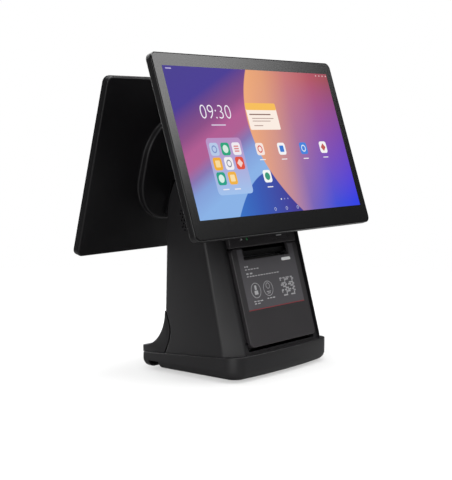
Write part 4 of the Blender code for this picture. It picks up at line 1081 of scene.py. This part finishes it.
def home_screen():
    """The cashier's picture: a card, a folder of keys, a row of keys and small bars for words."""
    def spot(u, v):
        """Millimetres from the picture's top left corner, in the display's own directions."""
        return u / 1000 - half_w, PICTURE_UP + half_h - v / 1000

    def bar(u, v, width, height, code="#F2F0F4", layer=2):
        return pill(*spot(u, v), width / 1000, height / 1000, steps=2), code, layer

    # the status line's bars and the date under the clock
    shapes = [bar(10, 3.5, 11, 1.6, "#B7B0DA"), bar(78, 75.4, 28, 1.7, "#D6C6DE")]
    shapes += [bar(317 + i * 8, 3.4, 2.6, 1.8, "#E9C9C9") for i in range(4)]

    # the card: its sheet, its yellow head and four lines
    shapes.append((pill(*spot(172, 65), 0.064, 0.034, 0.0022), "#FFF1E6", 1))
    shapes.append((pill(*spot(172, 50.5), 0.064, 0.0095, 0.0022), "#FBC25C", 2))
    shapes += [bar(167, 61.2, 45, 1.6, "#8A6A62", 2), bar(171, 66.6, 46, 1.1, "#B49A92", 2)]
    shapes += [bar(167, 70.2, 38, 1.1, "#B49A92", 2), bar(158.5, 76.4, 19, 1.2, "#B49A92", 2)]

    # the folder, with three rows of small keys and a bar for a name under two of them
    shapes.append((pill(*spot(79.5, 128.5), 0.068, 0.073, 0.0060), ("#A4C6F2", "#BC92C6"), 1))
    colours = ("#B9CDEB", "#2BA77E", "#F3EFF5", "#F4B13C", "#F6F3F6", "#E45440", "#29A389", "#F3B548")
    glyphs = ("ring", "disc", "bars", "square", "ring", "diamond", "disc", "square")
    glyph_codes = ("#7E93C8", "#D9F0E4", "#E08A8A", "#FBDDA0", "#8C8FA0", "#F9D6CE", "#DDF3EC", "#FBE3B0")
    for i in range(8):
        place = spot(58 + 21.5 * (i % 3), 106.5 + 18.8 * (i // 3))
        shapes += icon(*place, colours[i], glyphs[i], glyph_codes[i])
    shapes += [bar(62, 158, 12, 1.4), bar(84, 158.3, 12, 1.4)]

    # four keys in a row and one below, each with a bar for its name
    row = (
        (148.5, 107.9, "#FBE9E2", "ring", "#D8443A"),
        (194.8, 108.3, "#F8F8FA", "square", "#3F7DD6"),
        (243.6, 108.5, "#4A86E0", "ring", "#DDEBFA"),
        (290.2, 107.8, "#FAFAFA", "diamond", "#C4605A"),
        (149.8, 144.3, "#FAFCFB", "disc", "#3D9C7C"),
    )
    for u, v, code, glyph, glyph_code in row:
        shapes += icon(*spot(u, v), code, glyph, glyph_code)
        shapes.append(bar(u + 0.5, v + 14.2, 12, 1.3))

    # the page dots, and the rings of the bottom line
    for i in range(3):
        shapes.append((disc(*spot(166.5 + 7 * i, 175.6), 0.0011, 14), "#F4F4FA" if i == 0 else "#9A9CD0", 2))
        strips = ring_strips(*spot(149.3 + 24 * i, 188.1), 0.0022, 0.0006, 16)
        shapes += [(strip, "#C9CDEE", 2) for strip in strips]
    return shapes


def vertex_places(mesh):
    places = np.zeros(len(mesh.vertices) * 3, np.float32)
    mesh.vertices.foreach_get("co", places)
    return places.reshape(-1, 3)


def clock(name, plane, u, v, width):
    """The time, in thin digits that are given a width."""
    text = bpy.data.curves.new(name, "FONT")
    text.body = "09:30"
    text.align_x = "CENTER"
    text.align_y = "CENTER"
    text.extrude = 0.01
    text.offset = -0.018
    text.resolution_u = 6
    guide = link(bpy.data.objects.new(name + "_text", text))
    graph = bpy.context.evaluated_depsgraph_get()
    mesh = bpy.data.meshes.new_from_object(guide.evaluated_get(graph))
    bpy.data.objects.remove(guide)
    co = vertex_places(mesh)
    size = width / (co[:, 0].max() - co[:, 0].min())
    co[:, :2] *= size
    co[:, 0] += u
    co[:, 1] = co[:, 1] * 0.97 + v
    co[:, 2] = (co[:, 2] > 0) * MARK_THICK + 0.00012
    mesh.vertices.foreach_set("co", co.ravel())
    tint = mesh.attributes.new("tint", "FLOAT_COLOR", "POINT")
    tint.data.foreach_set("color", np.tile(shade("#F6F1FA"), len(mesh.vertices)).astype(np.float32))
    made = link(bpy.data.objects.new(name, mesh))
    set_normals_out(mesh)
    return plane.move(made)


def picture(name, plane):
    """The lit picture's face, with its own coordinates from its lower left corner."""
    made = block(name, (-half_w, PICTURE_UP - half_h, 0.00002), (half_w, PICTURE_UP + half_h, 0.00006))
    layer = made.data.uv_layers.new(name="picture")
    corner = np.zeros(len(made.data.loops), np.int32)
    made.data.loops.foreach_get("vertex_index", corner)
    spots = (vertex_places(made.data)[corner, :2] + [half_w, half_h - PICTURE_UP]) / PICTURE
    layer.data.foreach_set("uv", spots.astype(np.float32).ravel())
    return plane.move(made)


def back_shell(name, plane):
    """From the housing's inside out over the rim, down the side, round the back edge and over the housing."""
    width, height = GLASS_SIZE
    front = -GLASS_THICK - GAP
    rear = front - SHELL_DEPTH
    middle = height / 2

    def edge(in_by):
        return rounded(width - 2 * in_by, in_by, height - in_by, max(GLASS_CORNER - in_by, 0.002), 16)

    def bulge(in_by):
        wide, tall = HOUSING_SIZE
        low = middle - tall / 2 + in_by
        return rounded(wide - 2 * in_by, low, low + tall - 2 * in_by, HOUSING_CORNER - in_by, 16)

    inner = rear + SHELL_WALL
    levels = [
        (bulge(SHELL_WALL + HOUSING_EDGE / 2), inner - HOUSING_DEPTH),
        (bulge(SHELL_WALL + HOUSING_EDGE / 2), inner),
        (edge(SHELL_WALL), inner),
        (edge(SHELL_WALL), front),
        (edge(0.0003), front),
        (edge(0), front - 0.0003),
    ]
    far = rear - HOUSING_DEPTH
    levels += [(edge(SHELL_EDGE * into), rear + SHELL_EDGE * short) for short, into in quarter(8)]
    levels += [(bulge(-HOUSING_FOOT * wide), rear - HOUSING_FOOT * out * 0.6) for wide, out in quarter(6)]
    levels += [(bulge(HOUSING_EDGE * into), far + HOUSING_EDGE * short) for short, into in quarter(8)]
    levels.append((bulge(HOUSING_EDGE + FLAT_RING), far))
    return slab(name, plane, levels)


def display(label, side):
    """Glass, picture and shell of one display."""
    lean = LEANS[label]
    low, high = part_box(f"{label}_glass")
    face_y = low.y if side < 0 else high.y
    plane = Plane((0, face_y, low.z + GLASS_THICK * math.sin(lean)), lean, side)
    body = f"{label}_display"
    width, height = GLASS_SIZE

    def outline(in_by):
        return rounded(width - 2 * in_by, in_by, height - in_by, GLASS_CORNER - in_by, 16)

    levels = [(outline(GLASS_EDGE[0] + FLAT_RING), 0)]
    levels += [(outline(GLASS_EDGE[0] * into), -GLASS_EDGE[1] * down) for into, down in quarter(8)]
    levels.append((outline(0), -GLASS_THICK))
    glass = slab(f"{label}_cover_glass", plane, levels)
    depth = (plane.origin - vertex_places(glass.data)) @ plane.axes[2]
    rim = glass.data.attributes.new("rim", "FLOAT", "POINT")
    rim.data.foreach_set("value", (depth > 0.0001).astype(np.float32))
    dress(glass, cover_glass, body, "glass", f"{label}_glass")
    dress(picture(f"{label}_picture", plane), picture_light, body, "panel")
    dress(back_shell(f"{label}_shell_skin", plane), shell_plastic, body, "housing", f"{label}_back_shell")
    return plane


front_plane = display("front", -1)
rear_plane = display("rear", 1)
dress(prints("front_home_screen", front_plane, home_screen(), 0.00004), lit, "front_display", "panel")
dress(
    clock("front_clock", front_plane, 0.0783 - half_w, PICTURE_UP + half_h - 0.0592, 0.0585),
    lit, "front_display", "panel",
)
dress(clock("rear_clock", rear_plane, 0, PICTURE_UP + 0.010, 0.0900), lit, "rear_display", "panel")


# ---------------------------------------------------------------- inner parts
# Pressed and turned steel, circuit boards, acetal gears, the paper roll and the rest keep their CAD shape
# and take their real finish.


def brushed(name, code, roughness, stretch=(40, 900, 900)):
    """Bright metal with fine lines along one direction."""
    material, start = finish(name, roughness, 1.0)
    place = start.node("TexCoord", {}, {}, "Object")
    drawn = start.node("Mapping", {}, {"Vector": place, "Scale": stretch})
    lines = noise(drawn, 1, 3)
    dark = tuple(c * 0.8 for c in shade(code)[:3]) + (1,)
    feed(material, "Base Color", lines.mix(dark, shade(code)))
    feed(material, "Roughness", roughness - 0.08 + lines * 0.2)
    bump = start.node("Bump", {}, {"Height": lines, "Distance": 0.00002, "Strength": 0.5})
    feed(material, "Normal", bump)
    return material


def board_finish():
    """Green solder mask over copper tracks that run along the board, crossed by a few wider ones."""
    material, start = finish("circuit_board", 0.35, Coat_Weight=0.3)
    place = start.node("TexCoord", {}, {}, "Object")
    tracks = start.node("TexWave", {"bands_direction": "X"}, {"Vector": place, "Scale": 260, "Distortion": 6}, 1)
    pads = start.node("TexVoronoi", {}, {"Vector": place, "Scale": 260}, "Distance")
    copper = (tracks.above(0.72, 0.1) * 0.5 + (1 - pads.above(0.18, 0.05)) * 0.6).clamped()
    feed(material, "Base Color", copper.mix(shade("#0E4A2A"), shade("#3B7A4A")))
    feed(material, "Roughness", 0.42 - copper * 0.12)
    return material


def paper_finish(name, low, high, relief):
    """Wound paper or card: fine rings of slightly different tone."""
    material, start = finish(name, 0.82)
    place = start.node("TexCoord", {}, {}, "Object")
    fibre = noise(place, 1400, 3)
    feed(material, "Base Color", fibre.mix(shade(low), shade(high)))
    bump = start.node("Bump", {}, {"Height": fibre, "Distance": relief, "Strength": 0.5})
    feed(material, "Normal", bump)
    return material


steel = brushed("zinc_plated_steel", "#A9ABAD", 0.38)
black_zinc = brushed("black_zinc", "#2A2A2C", 0.5)
bright = brushed("bright_bar", "#BFC0C2", 0.24, (30, 700, 700))
alloy = brushed("extruded_alloy", "#C2C5C8", 0.34, (900, 40, 900))
green_board = board_finish()
paper = paper_finish("thermal_paper", "#E2E2DC", "#F1F1EC", 0.00002)
card = paper_finish("card_tube", "#8A6A48", "#A88862", 0.00005)
acetal = moulded("acetal", "#2B2B2E", 0.38, grain=900, relief=0.00001)

INNER = {
    steel: (
        "chassis", "cutter_blade", "feed_motor", "head_spring_left", "head_spring_right",
        "network_port", "usb_port",
    ),
    black_zinc: (
        "base_plate", "printer_frame", "cover_arm_left", "cover_arm_right", "cover_pin",
        "front_hinge_leaf", "rear_hinge_leaf",
    ),
    bright: ("platen_shaft", "front_hinge_pin", "rear_hinge_pin"),
    alloy: ("heat_sink", "print_head"),
    black: (
        "paper_bucket", "head_holder", "cutter_frame", "power_jack", "speaker_left", "speaker_right",
        "front_arm", "rear_arm", "front_panel", "rear_panel",
    ),
    green_board: ("main_board", "front_driver_board", "rear_driver_board"),
    acetal: ("platen_gear", "idler_gear", "motor_gear"),
    rubber: ("platen_roller",),
    paper: ("paper_roll",),
    card: ("paper_core",),
}
for material, names in INNER.items():
    for name in names:
        node = frame["nodes"][name]
        node.data.materials.clear()
        node.data.materials.append(material)

low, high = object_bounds()
